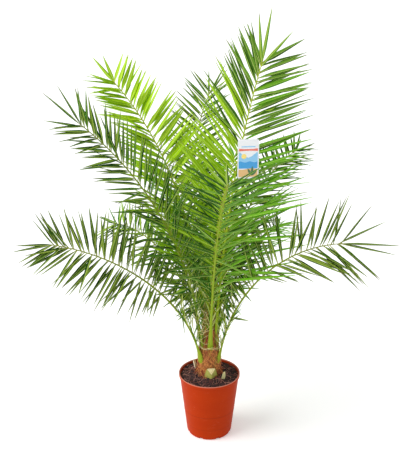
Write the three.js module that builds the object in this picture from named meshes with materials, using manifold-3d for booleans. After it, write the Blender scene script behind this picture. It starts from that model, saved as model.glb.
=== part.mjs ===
// A young date palm in a round nursery pot. Millimetres, +Z up, the origin at the middle of the pot's
// flat underside. The pot, its soil, the fibrous trunk, the cut leaf stubs, the spear leaf, the fronds and
// the hanging plant label are each a closed solid of their own.
//
// A frond is three solids: its bare stalk, the lower half of its blade and the tip half, parted where the
// frond bends over. The blade is a thin V-shaped sheet whose edge runs through the leaflets' tips, with
// the rib as a keel under its middle. Where pieces cross, the later one is cut back by a small clearance.
import * as THREE from "three";
import { mergeVertices } from "three/addons/utils/BufferGeometryUtils.js";
import Module from "manifold-3d";

const wasm = await Module();
wasm.setup();

// Driving sizes of the pot, soil and trunk
const POT_HEIGHT = 255;
const RIM_RADIUS = 120;
const FOOT_RADIUS = 88;
const POT_WALL = 2.6;
const LIP_HEIGHT = 11;
const LIP_OUT = 2.4;
const FOOT_ROUND = 7;
const DRAIN_SLOTS = 8;
const DRAIN_WIDTH = 15;
const DRAIN_DEEP = 9;
const SOIL_DROP = 8;
const MOUND_HEIGHT = 13;
const MOUND_RADIUS = 64;
const MOUND_FOOT = 84;
const TRUNK_RADIUS = 42;
const TRUNK_HEIGHT = 212;

// Driving sizes of the stalks, blades, spear leaf and label
const STALK_DEPTH = 0.6;
const RIB_WIDE = 8.5;
const RIB_TIP = 3;
const SHEET = 1.8;
const BLADE_START = 0.25;
const BLADE_SPLIT = 0.5;
const V_ANGLE = 15;
const RIB_STEPS = 60;
const SPEAR_LENGTH = 430;
const SPEAR_RADIUS = 8;
const LABEL_WIDTH = 76;
const LABEL_HEIGHT = 142;
const LABEL_THICK = 1.2;
const LABEL_PLACE = { x: 134, y: -50.5, z: 1126, yaw: 8, lean: 1 };

// Running gaps: between faces that meet, and round a piece that another one crosses
const GAP = 0.3;
const CUT_GAP = 0.8;

// Each frond grows from a foot inside the trunk, "foot" out from its axis and "height" above the floor.
// "turn" is its direction round the trunk, from +X towards +Y, and "sweep" is how far that wanders. Its
// foot stands in that direction too, or in the direction "base". "rise" and "end" are its slopes at foot
// and end, and a larger "late" keeps the bend for the end. "roll" and "twist" turn the blade about its rib.
// "stalk" is the width of its foot. "taper" is how long the last leaflets are, as a share of "leaflet", and
// a larger "fade" keeps them long for longer. Those past the rib's end are as long as the last ones, or
// "point" of "leaflet", and swing to the right by "fan". On each side the leaflets begin at the share
// "first" of the blade, or are full-sized from its start if that is below 0, and their angle to the rib
// goes from "open" to "close". Angles are in degrees.
const FRONDS = [
  {
    name: "left_high", colour: "lime", length: 1130, foot: 20, height: 335,
    turn: 155, sweep: 0, rise: 87, end: 43, late: 1.6, roll: 40, twist: 10,
    stalk: 22, leaflet: 275, taper: 0.46, fade: 1.5,
    right: { first: -0.2, open: 73, close: 55 }, left: { first: -0.2, open: 44, close: 50 },
  },
  {
    name: "right_high", colour: "lime", length: 1140, foot: 20, height: 340,
    turn: 335, sweep: 0, rise: 86, end: 74, late: 1.6, roll: 70, twist: 0,
    stalk: 24, leaflet: 350, taper: 0.48, fade: 2.3, point: 0.54,
    right: { first: -0.3, open: 58, close: 34 }, left: { first: -0.2, open: 72, close: 55 },
  },
  {
    name: "left_mid", colour: "deep", length: 1090, foot: 26, height: 325,
    turn: 210, sweep: 0, rise: 84, end: 41, late: 1.2, roll: 60, twist: 20,
    stalk: 22, leaflet: 250, taper: 0.56, fade: 1.5, point: 0.68,
    right: { open: 48, close: 38 }, left: { first: -0.3, open: 50, close: 36 },
  },
  {
    name: "left_low", colour: "green", length: 800, foot: 36, height: 300,
    turn: 187, sweep: 0, rise: 86, end: 12, late: 0.75, roll: 30, twist: 50,
    base: 216, stalk: 42, leaflet: 258, taper: 0.57, fade: 1.5, fan: -28,
    right: { open: 84, close: 46 }, left: { first: 0.24, open: 98, close: 38 },
  },
  {
    name: "right_low", colour: "green", length: 740, foot: 36, height: 300,
    turn: 354, sweep: 0, rise: 80, end: 5, late: 1.4, roll: -40, twist: -50,
    base: 325, stalk: 32, leaflet: 205, taper: 1.1, fade: 1.5,
    right: { first: 0.4, open: 55, close: 48 }, left: { open: 66, close: 62 },
  },
  {
    name: "right_mid", colour: "deep", length: 930, foot: 30, height: 325,
    turn: 42, sweep: 0, rise: 84, end: 15, late: 1.8, roll: -30, twist: 0,
    stalk: 22, leaflet: 200, taper: 0.55, fade: 1.5,
    right: { open: 70, close: 45 }, left: { open: 70, close: 45 },
  },
  {
    name: "front", colour: "green", length: 960, foot: 28, height: 358,
    turn: 275, sweep: 0, rise: 78, end: 35, late: 1.2, roll: 0, twist: 0,
    stalk: 24, leaflet: 205, taper: 0.95, fade: 1.5,
    right: { open: 68, close: 44 }, left: { open: 68, close: 50 },
  },
  {
    name: "back_tall", colour: "deep", length: 1030, foot: 24, height: 340,
    turn: 125, sweep: -80, rise: 85, end: 55, late: 1.4, roll: -20, twist: 0,
    stalk: 20, leaflet: 175, taper: 0.8, fade: 1.5,
    right: { open: 65, close: 38 }, left: { open: 75, close: 56 },
  },
  {
    name: "left_back", colour: "deep", length: 740, foot: 36, height: 305,
    turn: 140, sweep: 0, rise: 84, end: -8, late: 1.3, roll: 20, twist: 20,
    stalk: 24, leaflet: 160, taper: 0.85, fade: 1.5,
    right: { open: 70, close: 45 }, left: { open: 70, close: 45 },
  },
  {
    name: "back_right", colour: "lime", length: 900, foot: 32, height: 315,
    turn: 78, sweep: 0, rise: 82, end: 20, late: 1.2, roll: 10, twist: 0,
    stalk: 24, leaflet: 175, taper: 0.85, fade: 1.5,
    right: { open: 70, close: 45 }, left: { open: 70, close: 45 },
  },
  {
    name: "back_left", colour: "lime", length: 870, foot: 36, height: 300,
    turn: 105, sweep: 0, rise: 80, end: -5, late: 1.2, roll: -10, twist: 0,
    stalk: 26, leaflet: 175, taper: 0.85, fade: 1.5,
    right: { open: 70, close: 45 }, left: { open: 70, close: 45 },
  },
  {
    name: "right_back", colour: "lime", length: 720, foot: 36, height: 300,
    turn: 55, sweep: 0, rise: 82, end: -5, late: 1.1, roll: -10, twist: -10,
    stalk: 24, leaflet: 160, taper: 0.85, fade: 1.5,
    right: { open: 70, close: 45 }, left: { open: 70, close: 45 },
  },
];

// The cut stubs of old fronds round the trunk's foot: direction, distance from the trunk's axis, size, how
// far each leans out, and how steeply its cut falls outwards
const STUBS = [
  { name: "front_stub", turn: 277, foot: 43, wide: 48, deep: 26, tall: 36, lean: 14, slope: 1.5 },
  { name: "left_stub", turn: 155, foot: 56, wide: 18, deep: 10, tall: 34, lean: 16, slope: 1.3 },
  { name: "right_stub", turn: 318, foot: 71, wide: 18, deep: 13, tall: 22, lean: 14, slope: 1.3 },
  { name: "back_stub", turn: 84, foot: 50, wide: 44, deep: 24, tall: 34, lean: 14, slope: 1.3 },
];

const COLOURS = {
  pot: { color: 0xc2532b, roughness: 0.4 },
  soil: { color: 0x35241f, roughness: 1 },
  fibre: { color: 0x7d4a28, roughness: 0.95 },
  stub: { color: 0xb9a860, roughness: 0.8 },
  stalk: { color: 0x8fa33a, roughness: 0.5 },
  lime: { color: 0x7fb12b, roughness: 0.55 },
  green: { color: 0x4f8030, roughness: 0.55 },
  deep: { color: 0x2f5b33, roughness: 0.55 },
  label: { color: 0xe9eef2, roughness: 0.4 },
};

const radians = THREE.MathUtils.degToRad;
const mix = THREE.MathUtils.lerp;

// ---------------------------------------------------------------- solids and cuts

function toSolid(geometry) {
  const bare = geometry.clone();
  bare.deleteAttribute("normal");
  bare.deleteAttribute("uv");
  const welded = mergeVertices(bare, 1e-4);
  const vertProperties = new Float32Array(welded.attributes.position.array);
  const triVerts = new Uint32Array(welded.index.array);
  return new wasm.Manifold(new wasm.Mesh({ numProp: 3, vertProperties, triVerts }));
}

function toGeometry(solid) {
  const { vertProperties, triVerts } = solid.getMesh();
  const geometry = new THREE.BufferGeometry();
  geometry.setAttribute("position", new THREE.BufferAttribute(vertProperties, 3));
  geometry.setIndex(new THREE.BufferAttribute(triVerts, 1));
  geometry.computeVertexNormals();
  return geometry;
}

// The biggest body that is left of a solid once the others are cut from it
function trimmed(solid, cutters) {
  const left = cutters.reduce((whole, cutter) => whole.subtract(cutter), solid);
  return left.decompose().sort((a, b) => b.volume() - a.volume())[0];
}

// A closed solid through rings of points, with a fan of triangles over each end. Seen from the last
// ring's side, a ring runs anticlockwise. The sides named in "crossed" are split along the other diagonal.
function loft(rings, crossed = []) {
  const count = rings[0].length;
  const positions = rings.flat().flatMap((point) => point.toArray());
  const last = (rings.length - 1) * count;
  const index = [];
  for (let ring = 0; ring < rings.length - 1; ring++) {
    for (let side = 0; side < count; side++) {
      const a = ring * count + side;
      const b = ring * count + ((side + 1) % count);
      if (crossed.includes(side)) {
        index.push(a, b, a + count, b, b + count, a + count);
      } else {
        index.push(a, b, b + count, a, b + count, a + count);
      }
    }
  }
  for (let side = 1; side < count - 1; side++) {
    index.push(0, side + 1, side, last, last + side, last + side + 1);
  }
  const geometry = new THREE.BufferGeometry();
  geometry.setAttribute("position", new THREE.Float32BufferAttribute(positions, 3));
  geometry.setIndex(index);
  return geometry;
}

function lathe(outline, segments) {
  const geometry = new THREE.LatheGeometry(outline, segments);
  geometry.rotateX(Math.PI / 2);
  return geometry;
}

// ---------------------------------------------------------------- pot, soil and trunk

// The radius of the pot's outer wall at a height
function potRadius(height) {
  return mix(FOOT_RADIUS, RIM_RADIUS - LIP_OUT, height / POT_HEIGHT);
}

function potOutline() {
  const inner = (height) => potRadius(height) - POT_WALL;
  const outline = [new THREE.Vector2(0, 0)];
  for (let step = 0; step <= 4; step++) {
    const angle = (step / 4) * (Math.PI / 2);
    const radius = FOOT_RADIUS - FOOT_ROUND * (1 - Math.sin(angle));
    outline.push(new THREE.Vector2(radius, FOOT_ROUND * (1 - Math.cos(angle))));
  }
  const underLip = POT_HEIGHT - LIP_HEIGHT;
  outline.push(new THREE.Vector2(potRadius(underLip - LIP_OUT), underLip - LIP_OUT));
  outline.push(new THREE.Vector2(RIM_RADIUS, underLip));
  outline.push(new THREE.Vector2(RIM_RADIUS, POT_HEIGHT - 1.5));
  outline.push(new THREE.Vector2(RIM_RADIUS - 1.5, POT_HEIGHT));
  outline.push(new THREE.Vector2(inner(POT_HEIGHT), POT_HEIGHT));
  outline.push(new THREE.Vector2(inner(FOOT_ROUND), FOOT_ROUND));
  outline.push(new THREE.Vector2(inner(0) - FOOT_ROUND, POT_WALL));
  outline.push(new THREE.Vector2(0, POT_WALL));
  return outline;
}

// The pot, with drain slots cut through its rounded bottom edge
function potSolid() {
  const slots = Array.from({ length: DRAIN_SLOTS }, (_, step) => {
    const slot = new THREE.BoxGeometry(2.4 * FOOT_ROUND, DRAIN_WIDTH, DRAIN_DEEP);
    slot.translate(FOOT_RADIUS, 0, DRAIN_DEEP / 2 - 1);
    slot.rotateZ(((step + 0.5) / DRAIN_SLOTS) * 2 * Math.PI);
    return toSolid(slot);
  });
  return trimmed(toSolid(lathe(potOutline(), 48)), slots);
}

const SOIL_TOP = POT_HEIGHT - SOIL_DROP;
const MOUND_TOP = SOIL_TOP + MOUND_HEIGHT;

function soilSolid(grow = 0) {
  const inside = (height) => potRadius(height) - POT_WALL - GAP;
  const bottom = POT_WALL + GAP;
  return toSolid(lathe([
    new THREE.Vector2(0, bottom),
    new THREE.Vector2(FOOT_RADIUS - 3 * FOOT_ROUND, bottom),
    new THREE.Vector2(inside(2 * FOOT_ROUND) - 1, 2 * FOOT_ROUND),
    new THREE.Vector2(inside(SOIL_TOP), SOIL_TOP + grow),
    new THREE.Vector2(MOUND_FOOT, SOIL_TOP + grow),
    new THREE.Vector2(MOUND_RADIUS, MOUND_TOP + grow),
    new THREE.Vector2(0, MOUND_TOP + grow),
  ], 48));
}

// The trunk's radius at a share of its height: nearly even at first, then narrowing to the fibrous neck
function trunkRadius(share) {
  const bulb = 1 + 0.05 * Math.sin(Math.PI * Math.min(share / 0.4, 1));
  const neck = mix(1, 0.28, THREE.MathUtils.smoothstep(share, 0.3, 1));
  return TRUNK_RADIUS * bulb * neck;
}

function trunkSolid(grow = 0) {
  const steps = 9;
  const foot = MOUND_TOP + GAP - grow;
  const outline = [new THREE.Vector2(0, foot)];
  for (let step = 0; step <= steps; step++) {
    const share = step / steps;
    const height = mix(foot, foot + TRUNK_HEIGHT + 2 * grow, share);
    outline.push(new THREE.Vector2(trunkRadius(share) + grow, height));
  }
  outline.push(new THREE.Vector2(0, foot + TRUNK_HEIGHT + 2 * grow));
  return toSolid(lathe(outline, 24));
}

// ---------------------------------------------------------------- stubs, spear and label

// A stub leans out from the soil beside the trunk and narrows upward. Its section is a triangle, flat
// towards the trunk with a keel outwards, and its cut falls outwards. It starts below the soil's surface.
function stubSolid({ turn, foot, wide, deep, tall, lean, slope }) {
  const ring = (height, share) => [[-1, -0.08], [0, 0.75], [1, -0.08]].map(([side, out]) => {
    const across = (side * wide * mix(1, 0.66, share)) / 2;
    const outward = out * deep * mix(1, 0.7, share);
    const place = foot + outward + height * Math.tan(radians(lean));
    return new THREE.Vector3(place, across, MOUND_TOP + height - slope * share * outward);
  });
  const geometry = loft([ring(-MOUND_HEIGHT, 0), ring(0, 0), ring(tall / 2, 0.5), ring(tall, 1)]);
  geometry.rotateZ(radians(turn));
  return toSolid(geometry);
}

// The closed spear leaf stands on the trunk's neck
function spearSolid(grow = 0) {
  const outline = [new THREE.Vector2(0, -grow)];
  const steps = 6;
  for (let step = 0; step < steps; step++) {
    const share = step / steps;
    const radius = SPEAR_RADIUS * Math.cos((share * Math.PI) / 2) + grow;
    outline.push(new THREE.Vector2(radius, step === 0 ? -grow : SPEAR_LENGTH * share));
  }
  outline.push(new THREE.Vector2(0, SPEAR_LENGTH + grow));
  const geometry = lathe(outline, 8);
  geometry.translate(0, 0, MOUND_TOP + TRUNK_HEIGHT + 2 * GAP);
  return toSolid(geometry);
}

// A card with rounded corners, tucked in front of the rib of the tall right frond
function labelSolid(grow = 0) {
  const halfWide = LABEL_WIDTH / 2 + grow;
  const halfTall = LABEL_HEIGHT / 2 + grow;
  const round = 9;
  const card = new THREE.Shape();
  card.moveTo(-halfWide + round, -halfTall);
  card.lineTo(halfWide - round, -halfTall);
  card.absarc(halfWide - round, -halfTall + round, round, -Math.PI / 2, 0);
  card.absarc(halfWide - round, halfTall - round, round, 0, Math.PI / 2);
  card.absarc(-halfWide + round, halfTall - round, round, Math.PI / 2, Math.PI);
  card.absarc(-halfWide + round, -halfTall + round, round, Math.PI, 1.5 * Math.PI);
  const depth = LABEL_THICK + 2 * grow;
  const geometry = new THREE.ExtrudeGeometry(card, { depth, bevelEnabled: false, curveSegments: 4 });
  geometry.translate(0, 0, -depth / 2);
  geometry.rotateX(Math.PI / 2 + radians(LABEL_PLACE.lean));
  geometry.rotateZ(radians(LABEL_PLACE.yaw));
  geometry.translate(LABEL_PLACE.x, LABEL_PLACE.y, LABEL_PLACE.z);
  return toSolid(geometry);
}

// ---------------------------------------------------------------- fronds

// The rib's line, grown in short straight steps, and the directions along, across and above it
class Rib {
  constructor(frond) {
    this.frond = frond;
    const base = radians(frond.base ?? frond.turn);
    const point = new THREE.Vector3(frond.foot * Math.cos(base), frond.foot * Math.sin(base), frond.height);
    this.points = [point.clone()];
    for (let step = 0; step < RIB_STEPS; step++) {
      point.addScaledVector(this.directions((step + 0.5) / RIB_STEPS).along, frond.length / RIB_STEPS);
      this.points.push(point.clone());
    }
  }

  directions(t) {
    const { turn, sweep, rise, end, late, roll, twist } = this.frond;
    const around = radians(turn + sweep * t * t);
    const slope = radians(mix(rise, end, t ** late));
    const level = Math.cos(slope);
    const along = new THREE.Vector3(Math.cos(around) * level, Math.sin(around) * level, Math.sin(slope));
    const across = new THREE.Vector3(Math.sin(around), -Math.cos(around), 0);
    across.applyAxisAngle(along, -radians(roll + twist * t));
    const above = new THREE.Vector3().crossVectors(across, along);
    return { along, across, above };
  }

  at(t) {
    const place = t * RIB_STEPS;
    const step = Math.min(Math.floor(place), RIB_STEPS - 1);
    const point = this.points[step].clone().lerp(this.points[step + 1], place - step);
    return { point, ...this.directions(t) };
  }
}

// A point beside the rib, by its distances ahead, across and above
function beside({ point, along, across, above }, ahead, out, up) {
  return point.clone().addScaledVector(along, ahead).addScaledVector(across, out).addScaledVector(above, up);
}

// The bare stalk, which widens and flattens towards its foot. It lies flat along the trunk there, and turns
// to the blade's own direction on its way up.
function stalkSolid(frond, grow = 0) {
  const rib = new Rib(frond);
  const base = radians(frond.base ?? frond.turn);
  const level = new THREE.Vector3(Math.sin(base), -Math.cos(base), 0);
  const sides = 8;
  const steps = 7;
  const end = BLADE_START + (grow - GAP) / frond.length;
  const rings = [];
  for (let step = 0; step <= steps; step++) {
    const share = step / steps;
    const place = rib.at(share * end);
    const turned = THREE.MathUtils.smoothstep(share * end, 0.02, 0.22);
    place.across.lerpVectors(level, place.across.clone(), turned).projectOnPlane(place.along).normalize();
    place.above.crossVectors(place.across, place.along);
    const flare = (1 - share) ** 2;
    const wide = mix(RIB_WIDE, frond.stalk, flare) / 2 + grow;
    const deep = mix(RIB_WIDE, STALK_DEPTH * frond.stalk, flare) / 2 + grow;
    rings.push(Array.from({ length: sides }, (_, side) => {
      const angle = ((side + 0.5) / sides) * 2 * Math.PI;
      return beside(place, 0, wide * Math.sin(angle), deep * Math.cos(angle));
    }));
  }
  return toSolid(loft(rings));
}

// The length of one side's leaflets at a share of the blade. They are full-sized a third of the blade past
// the first ones, and taper towards the tip.
function leafletReach(frond, { first = 0 }, share) {
  const grown = 0.4 + 0.6 * Math.sin((Math.PI / 2) * THREE.MathUtils.clamp((share - first) / 0.35, 0, 1));
  const bare = share < first ? share / first : 1;
  return frond.leaflet * Math.max(grown * bare, 0.08) * mix(1, frond.taper, share ** frond.fade);
}

// The angle of one side's leaflets to the rib
function leafletAngle({ open, close }, share) {
  return radians(mix(open, close, share ** 2));
}

// The edge of one side of the blade: how far it lies ahead of the rib's point, across it and above it
function bladeEdge(frond, side, share, grow) {
  const reach = leafletReach(frond, side, share) + grow;
  const angle = leafletAngle(side, share);
  const wide = reach * Math.sin(angle);
  return [reach * Math.cos(angle), wide * Math.cos(radians(V_ANGLE)), wide * Math.sin(radians(V_ANGLE))];
}

// A ring round the blade from the middle's top: both faces of each edge, with the rib's keel between them.
// Its sides that start at an edge are split crosswise, so that the two faces of the sheet stay parallel.
const EDGE_SIDES = [2, 7];

function bladeRing(place, right, left, keel, half) {
  return [
    beside(place, 0, 0, half),
    beside(place, right[0], right[1], right[2] + half),
    beside(place, right[0], right[1], right[2] - half),
    beside(place, 0, keel, -half),
    beside(place, 0, 0, -half - keel),
    beside(place, 0, -keel, -half),
    beside(place, left[0], -left[1], left[2] - half),
    beside(place, left[0], -left[1], left[2] + half),
  ];
}

// The blade between two shares of its length. The last stretch ends in the leaflets past the rib's end.
function bladeSolid(frond, from, to, grow = 0) {
  const rib = new Rib(frond);
  const steps = 6;
  const ease = (GAP - grow) / frond.length;
  const half = SHEET / 2 + grow;
  const rings = [];
  for (let step = 0; step <= steps; step++) {
    const share = mix(from, to, step / steps);
    const nudge = step === 0 ? ease : step === steps && to < 1 ? -ease : 0;
    const place = rib.at(mix(BLADE_START, 1, share) + nudge);
    const right = bladeEdge(frond, frond.right, share, grow);
    const left = bladeEdge(frond, frond.left, share, grow);
    const keel = mix(RIB_WIDE, RIB_TIP, share) / 2 + grow;
    rings.push(bladeRing(place, right, left, keel, half));
  }
  if (to === 1) {
    const reach = frond.leaflet * (frond.point ?? frond.taper) + grow;
    const swing = radians(frond.fan ?? 0);
    const end = rib.at(1);
    end.point.addScaledVector(end.along, reach * Math.cos(swing));
    end.point.addScaledVector(end.across, reach * Math.sin(swing));
    const narrow = [0, 0.1 * reach, 0];
    rings.push(bladeRing(end, narrow, narrow, RIB_TIP / 2 + grow, half));
  }
  return toSolid(loft(rings, EDGE_SIDES));
}

// ---------------------------------------------------------------- the whole plant

const plant = new THREE.Group();
plant.name = "potted_date_palm";

function add(name, solid, look) {
  const mesh = new THREE.Mesh(toGeometry(solid), new THREE.MeshStandardMaterial(COLOURS[look]));
  mesh.name = name;
  plant.add(mesh);
}

add("pot", potSolid(), "pot");
add("soil", soilSolid(), "soil");
add("trunk", trunkSolid(), "fibre");

const trunkCut = trunkSolid(CUT_GAP);
for (const stub of STUBS) {
  add(stub.name, trimmed(stubSolid(stub), [trunkCut, soilSolid(CUT_GAP)]), "stub");
}
add("spear_leaf", spearSolid(), "lime");
add("plant_label", labelSolid(), "label");

// Every stalk comes first, then the tips and then the lower blades, each cut back from all before it
const cutters = [trunkCut, spearSolid(CUT_GAP), labelSolid(CUT_GAP)];

function addFrondPieces(ending, make, look) {
  for (const frond of FRONDS) {
    add(`${frond.name}_${ending}`, trimmed(make(frond), cutters), look ?? frond.colour);
    cutters.push(make(frond, CUT_GAP));
  }
}

addFrondPieces("stalk", stalkSolid, "stalk");
addFrondPieces("tip", (frond, grow) => bladeSolid(frond, BLADE_SPLIT, 1, grow));
addFrondPieces("blade", (frond, grow) => bladeSolid(frond, 0, BLADE_SPLIT, grow));

export default plant;
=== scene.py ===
"""The looks of a young date palm in a round nursery pot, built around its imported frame.

Every piece is a mesh worked out in whole arrays: a leaflet, a fibre or a rib is a closed tube of rings, and
the pot and the soil are one wide tube each. Lengths are in metres and +Z is up. The frame says where the
pot, the soil, the trunk, the spear leaf and the label are, and the fronds and stubs have the sizes below.
"""

import itertools
import math

import bpy
import numpy as np
from bpy.props import FloatProperty, FloatVectorProperty, IntProperty, PointerProperty
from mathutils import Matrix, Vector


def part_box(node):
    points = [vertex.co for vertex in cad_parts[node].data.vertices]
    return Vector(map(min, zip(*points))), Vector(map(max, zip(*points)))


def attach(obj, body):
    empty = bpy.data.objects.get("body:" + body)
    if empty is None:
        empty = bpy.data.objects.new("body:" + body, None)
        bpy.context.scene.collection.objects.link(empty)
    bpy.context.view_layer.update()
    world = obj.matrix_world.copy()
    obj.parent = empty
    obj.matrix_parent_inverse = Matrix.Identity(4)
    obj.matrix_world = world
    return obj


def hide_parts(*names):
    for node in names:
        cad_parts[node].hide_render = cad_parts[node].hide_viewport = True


bl_info = {
    "name": "Potted Date Palm",
    "version": (1, 0, 0),
    "blender": (4, 5, 0),
    "location": "View3D > Sidebar > Palm",
    "description": "Builds the looks of a young date palm in a nursery pot around its frame",
    "category": "Add Mesh",
}

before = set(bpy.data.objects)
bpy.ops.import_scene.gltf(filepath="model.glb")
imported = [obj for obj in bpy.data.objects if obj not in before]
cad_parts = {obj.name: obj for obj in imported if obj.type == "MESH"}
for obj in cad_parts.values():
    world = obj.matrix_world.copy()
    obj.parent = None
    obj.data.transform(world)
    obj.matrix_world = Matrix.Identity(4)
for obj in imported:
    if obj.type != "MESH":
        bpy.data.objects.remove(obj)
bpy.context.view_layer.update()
BODY = "root"
SEEDS = dict(soil=21, trunk=33, leaflets=100, spines=200)

# ---------------------------------------------------------------- how the plant grows

# What a frond has unless its row says otherwise
USUAL_FROND = dict(sweep=0, twist=0, fade=1.5, tilt=22, fan=0, change=0.55)


def leaves(tone, opening, closing, first=0, tip=None):
    """One side's leaflets: their tone and that at the tip, their angles, and where they begin."""
    return dict(tone=tone, tip=tip or tone, open=opening, close=closing, first=first)


# A frond grows from a foot inside the trunk, "foot" out from its axis and "height" above the floor. "turn"
# is its direction round the trunk from +X towards +Y, and "sweep" is how far that wanders. Its foot stands
# in that direction too, or in the direction "base". "rise" and "end" are its slopes at foot and end, and a
# larger "late" keeps the bend for the end. "roll" and "twist" turn the blade about its rib, and "stalk" is
# the width of its foot. Its leaflets are "leaflet" long and "wide" wide, stand "gap" apart on each side,
# turn about their own axes by "tilt" and hang by "sag". "taper" is how long the last ones are, as a share
# of the longest, and a larger "fade" keeps them long for longer. Those past the rib's end are as long as the
# last ones, or "point" of the longest, and swing to the right by "fan". Past the share "change" of the
# blade the leaflets take the tone of their side's tip. They begin at the share "first" of the blade, or are
# full sized from its start if that is below 0, and their angle to the rib goes from "open" to "close", give
# or take "stray". Angles are in degrees.
FRONDS = {
    "left_high": dict(
        length=1.13, foot=0.02, height=0.335, turn=155, rise=87, end=43, late=1.6, roll=40, twist=10,
        stalk=0.022, leaflet=0.275, wide=0.0203, gap=0.0144, taper=0.46, sag=0.02, stray=4,
        right=leaves("lime", 73, 55, -0.2), left=leaves("lime", 44, 50, -0.2),
    ),
    "right_high": dict(
        length=1.14, foot=0.02, height=0.34, turn=335, rise=86, end=74, late=1.6, roll=70, stalk=0.024,
        leaflet=0.350, wide=0.0175, gap=0.0125, taper=0.48, fade=2.3, tilt=8, sag=0.02, stray=5,
        point=0.54, change=0.7,
        right=leaves("lime", 58, 34, -0.3, "green"), left=leaves("fresh", 72, 55, -0.2, "green"),
    ),
    "left_mid": dict(
        length=1.09, foot=0.026, height=0.325, turn=210, rise=84, end=41, late=1.2, roll=60, twist=20,
        stalk=0.022, leaflet=0.250, wide=0.0122, gap=0.0128, taper=0.56, sag=0.03, stray=5, point=0.68,
        right=leaves("deep", 48, 38), left=leaves("deep", 50, 36, -0.3),
    ),
    "left_low": dict(
        length=0.8, foot=0.036, height=0.3, turn=187, base=216, rise=86, end=12, late=0.75, roll=30, twist=50,
        stalk=0.042, leaflet=0.258, wide=0.0148, gap=0.0115, taper=0.57, sag=0.03, stray=6, fan=-28,
        right=leaves("olive", 84, 46), left=leaves("olive", 98, 38, 0.24),
    ),
    "right_low": dict(
        length=0.74, foot=0.036, height=0.3, turn=354, base=325, rise=80, end=5, late=1.4, roll=-40,
        twist=-50, stalk=0.032, leaflet=0.205, wide=0.0140, gap=0.0150, taper=1.10, sag=0.03, stray=6,
        right=leaves("olive", 55, 48, 0.4), left=leaves("olive", 66, 62),
    ),
    "right_mid": dict(
        length=0.93, foot=0.03, height=0.325, turn=42, rise=84, end=15, late=1.8, roll=-30,
        stalk=0.022, leaflet=0.200, wide=0.0160, gap=0.0112, taper=0.55, sag=0.04, stray=6,
        right=leaves("deep", 70, 45), left=leaves("deep", 70, 45),
    ),
    "front": dict(
        length=0.96, foot=0.028, height=0.358, turn=275, rise=78, end=35, late=1.2, roll=0,
        stalk=0.024, leaflet=0.205, wide=0.0155, gap=0.0150, taper=0.95, sag=0.02, stray=11,
        right=leaves("green", 68, 44, tip="deep"), left=leaves("green", 68, 50, tip="deep"),
    ),
    "back_tall": dict(
        length=1.03, foot=0.024, height=0.34, turn=125, sweep=-80, rise=85, end=55, late=1.4, roll=-20,
        stalk=0.020, leaflet=0.175, wide=0.0132, gap=0.0125, taper=0.80, sag=0.02, stray=4,
        right=leaves("deep", 65, 38), left=leaves("deep", 75, 56),
    ),
    "left_back": dict(
        length=0.74, foot=0.036, height=0.305, turn=140, rise=84, end=-8, late=1.3, roll=20, twist=20,
        stalk=0.024, leaflet=0.160, wide=0.0160, gap=0.0130, taper=0.85, sag=0.05, stray=16,
        right=leaves("deep", 70, 45), left=leaves("green", 70, 45),
    ),
    "back_right": dict(
        length=0.9, foot=0.032, height=0.315, turn=78, rise=82, end=20, late=1.2, roll=10,
        stalk=0.024, leaflet=0.175, wide=0.0170, gap=0.0140, taper=0.85, sag=0.04, stray=16,
        right=leaves("fresh", 70, 45), left=leaves("lime", 70, 45, tip="fresh"),
    ),
    "back_left": dict(
        length=0.87, foot=0.036, height=0.3, turn=105, rise=80, end=-5, late=1.2, roll=-10,
        stalk=0.026, leaflet=0.175, wide=0.0170, gap=0.0140, taper=0.85, sag=0.04, stray=16,
        right=leaves("fresh", 70, 45), left=leaves("lime", 70, 45, tip="fresh"),
    ),
    "right_back": dict(
        length=0.72, foot=0.036, height=0.3, turn=55, rise=82, end=-5, late=1.1, roll=-10, twist=-10,
        stalk=0.024, leaflet=0.160, wide=0.0150, gap=0.0150, taper=0.85, sag=0.05, stray=14,
        right=leaves("fresh", 70, 45), left=leaves("fresh", 70, 45, tip="green"),
    ),
}
FRONDS = {name: USUAL_FROND | frond for name, frond in FRONDS.items()}
RIB_STEPS = 60
BLADE_START = 0.25
RIB_WIDE, RIB_TIP = 0.0085, 0.003
STALK_DEPTH = 0.6  # as a share of its width
BLADE_LIFT = 15  # how far the blade's V lifts its leaflets, in degrees
SPINES = 44
LEAFLET_SHARES = np.array([0, 0.035, 0.12, 0.26, 0.42, 0.58, 0.74, 0.88, 1.0])

# The finishes of a leaflet, in the order of a tone's materials. The first is a painted highlight on one half
# of the fold, the third a painted shade on the other half, and the last a painted shade on one half below.
PAINTED_HIGHLIGHT, MIDDLE, PAINTED_SHADE, UNDER, MIDRIB, TIP, FOOT, PAINTED_UNDER_SHADE = range(8)
TONE_FINISHES = 8

# The stubs of old fronds: direction in degrees, distance from the trunk's axis, width, depth and height,
# how far each leans out, how steep its cut is, and how dry and pale its skin is from 0 to 1
STUBS = {
    "front_stub": dict(turn=277, foot=0.043, wide=0.048, deep=0.026, tall=0.036, lean=14, slope=1.5, dry=0.1),
    "left_stub": dict(turn=155, foot=0.056, wide=0.018, deep=0.010, tall=0.034, lean=16, slope=1.3, dry=1),
    "right_stub": dict(turn=318, foot=0.071, wide=0.018, deep=0.013, tall=0.022, lean=14, slope=1.3, dry=0.5),
    "back_stub": dict(turn=84, foot=0.050, wide=0.044, deep=0.024, tall=0.034, lean=14, slope=1.3, dry=0.2),
}

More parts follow.
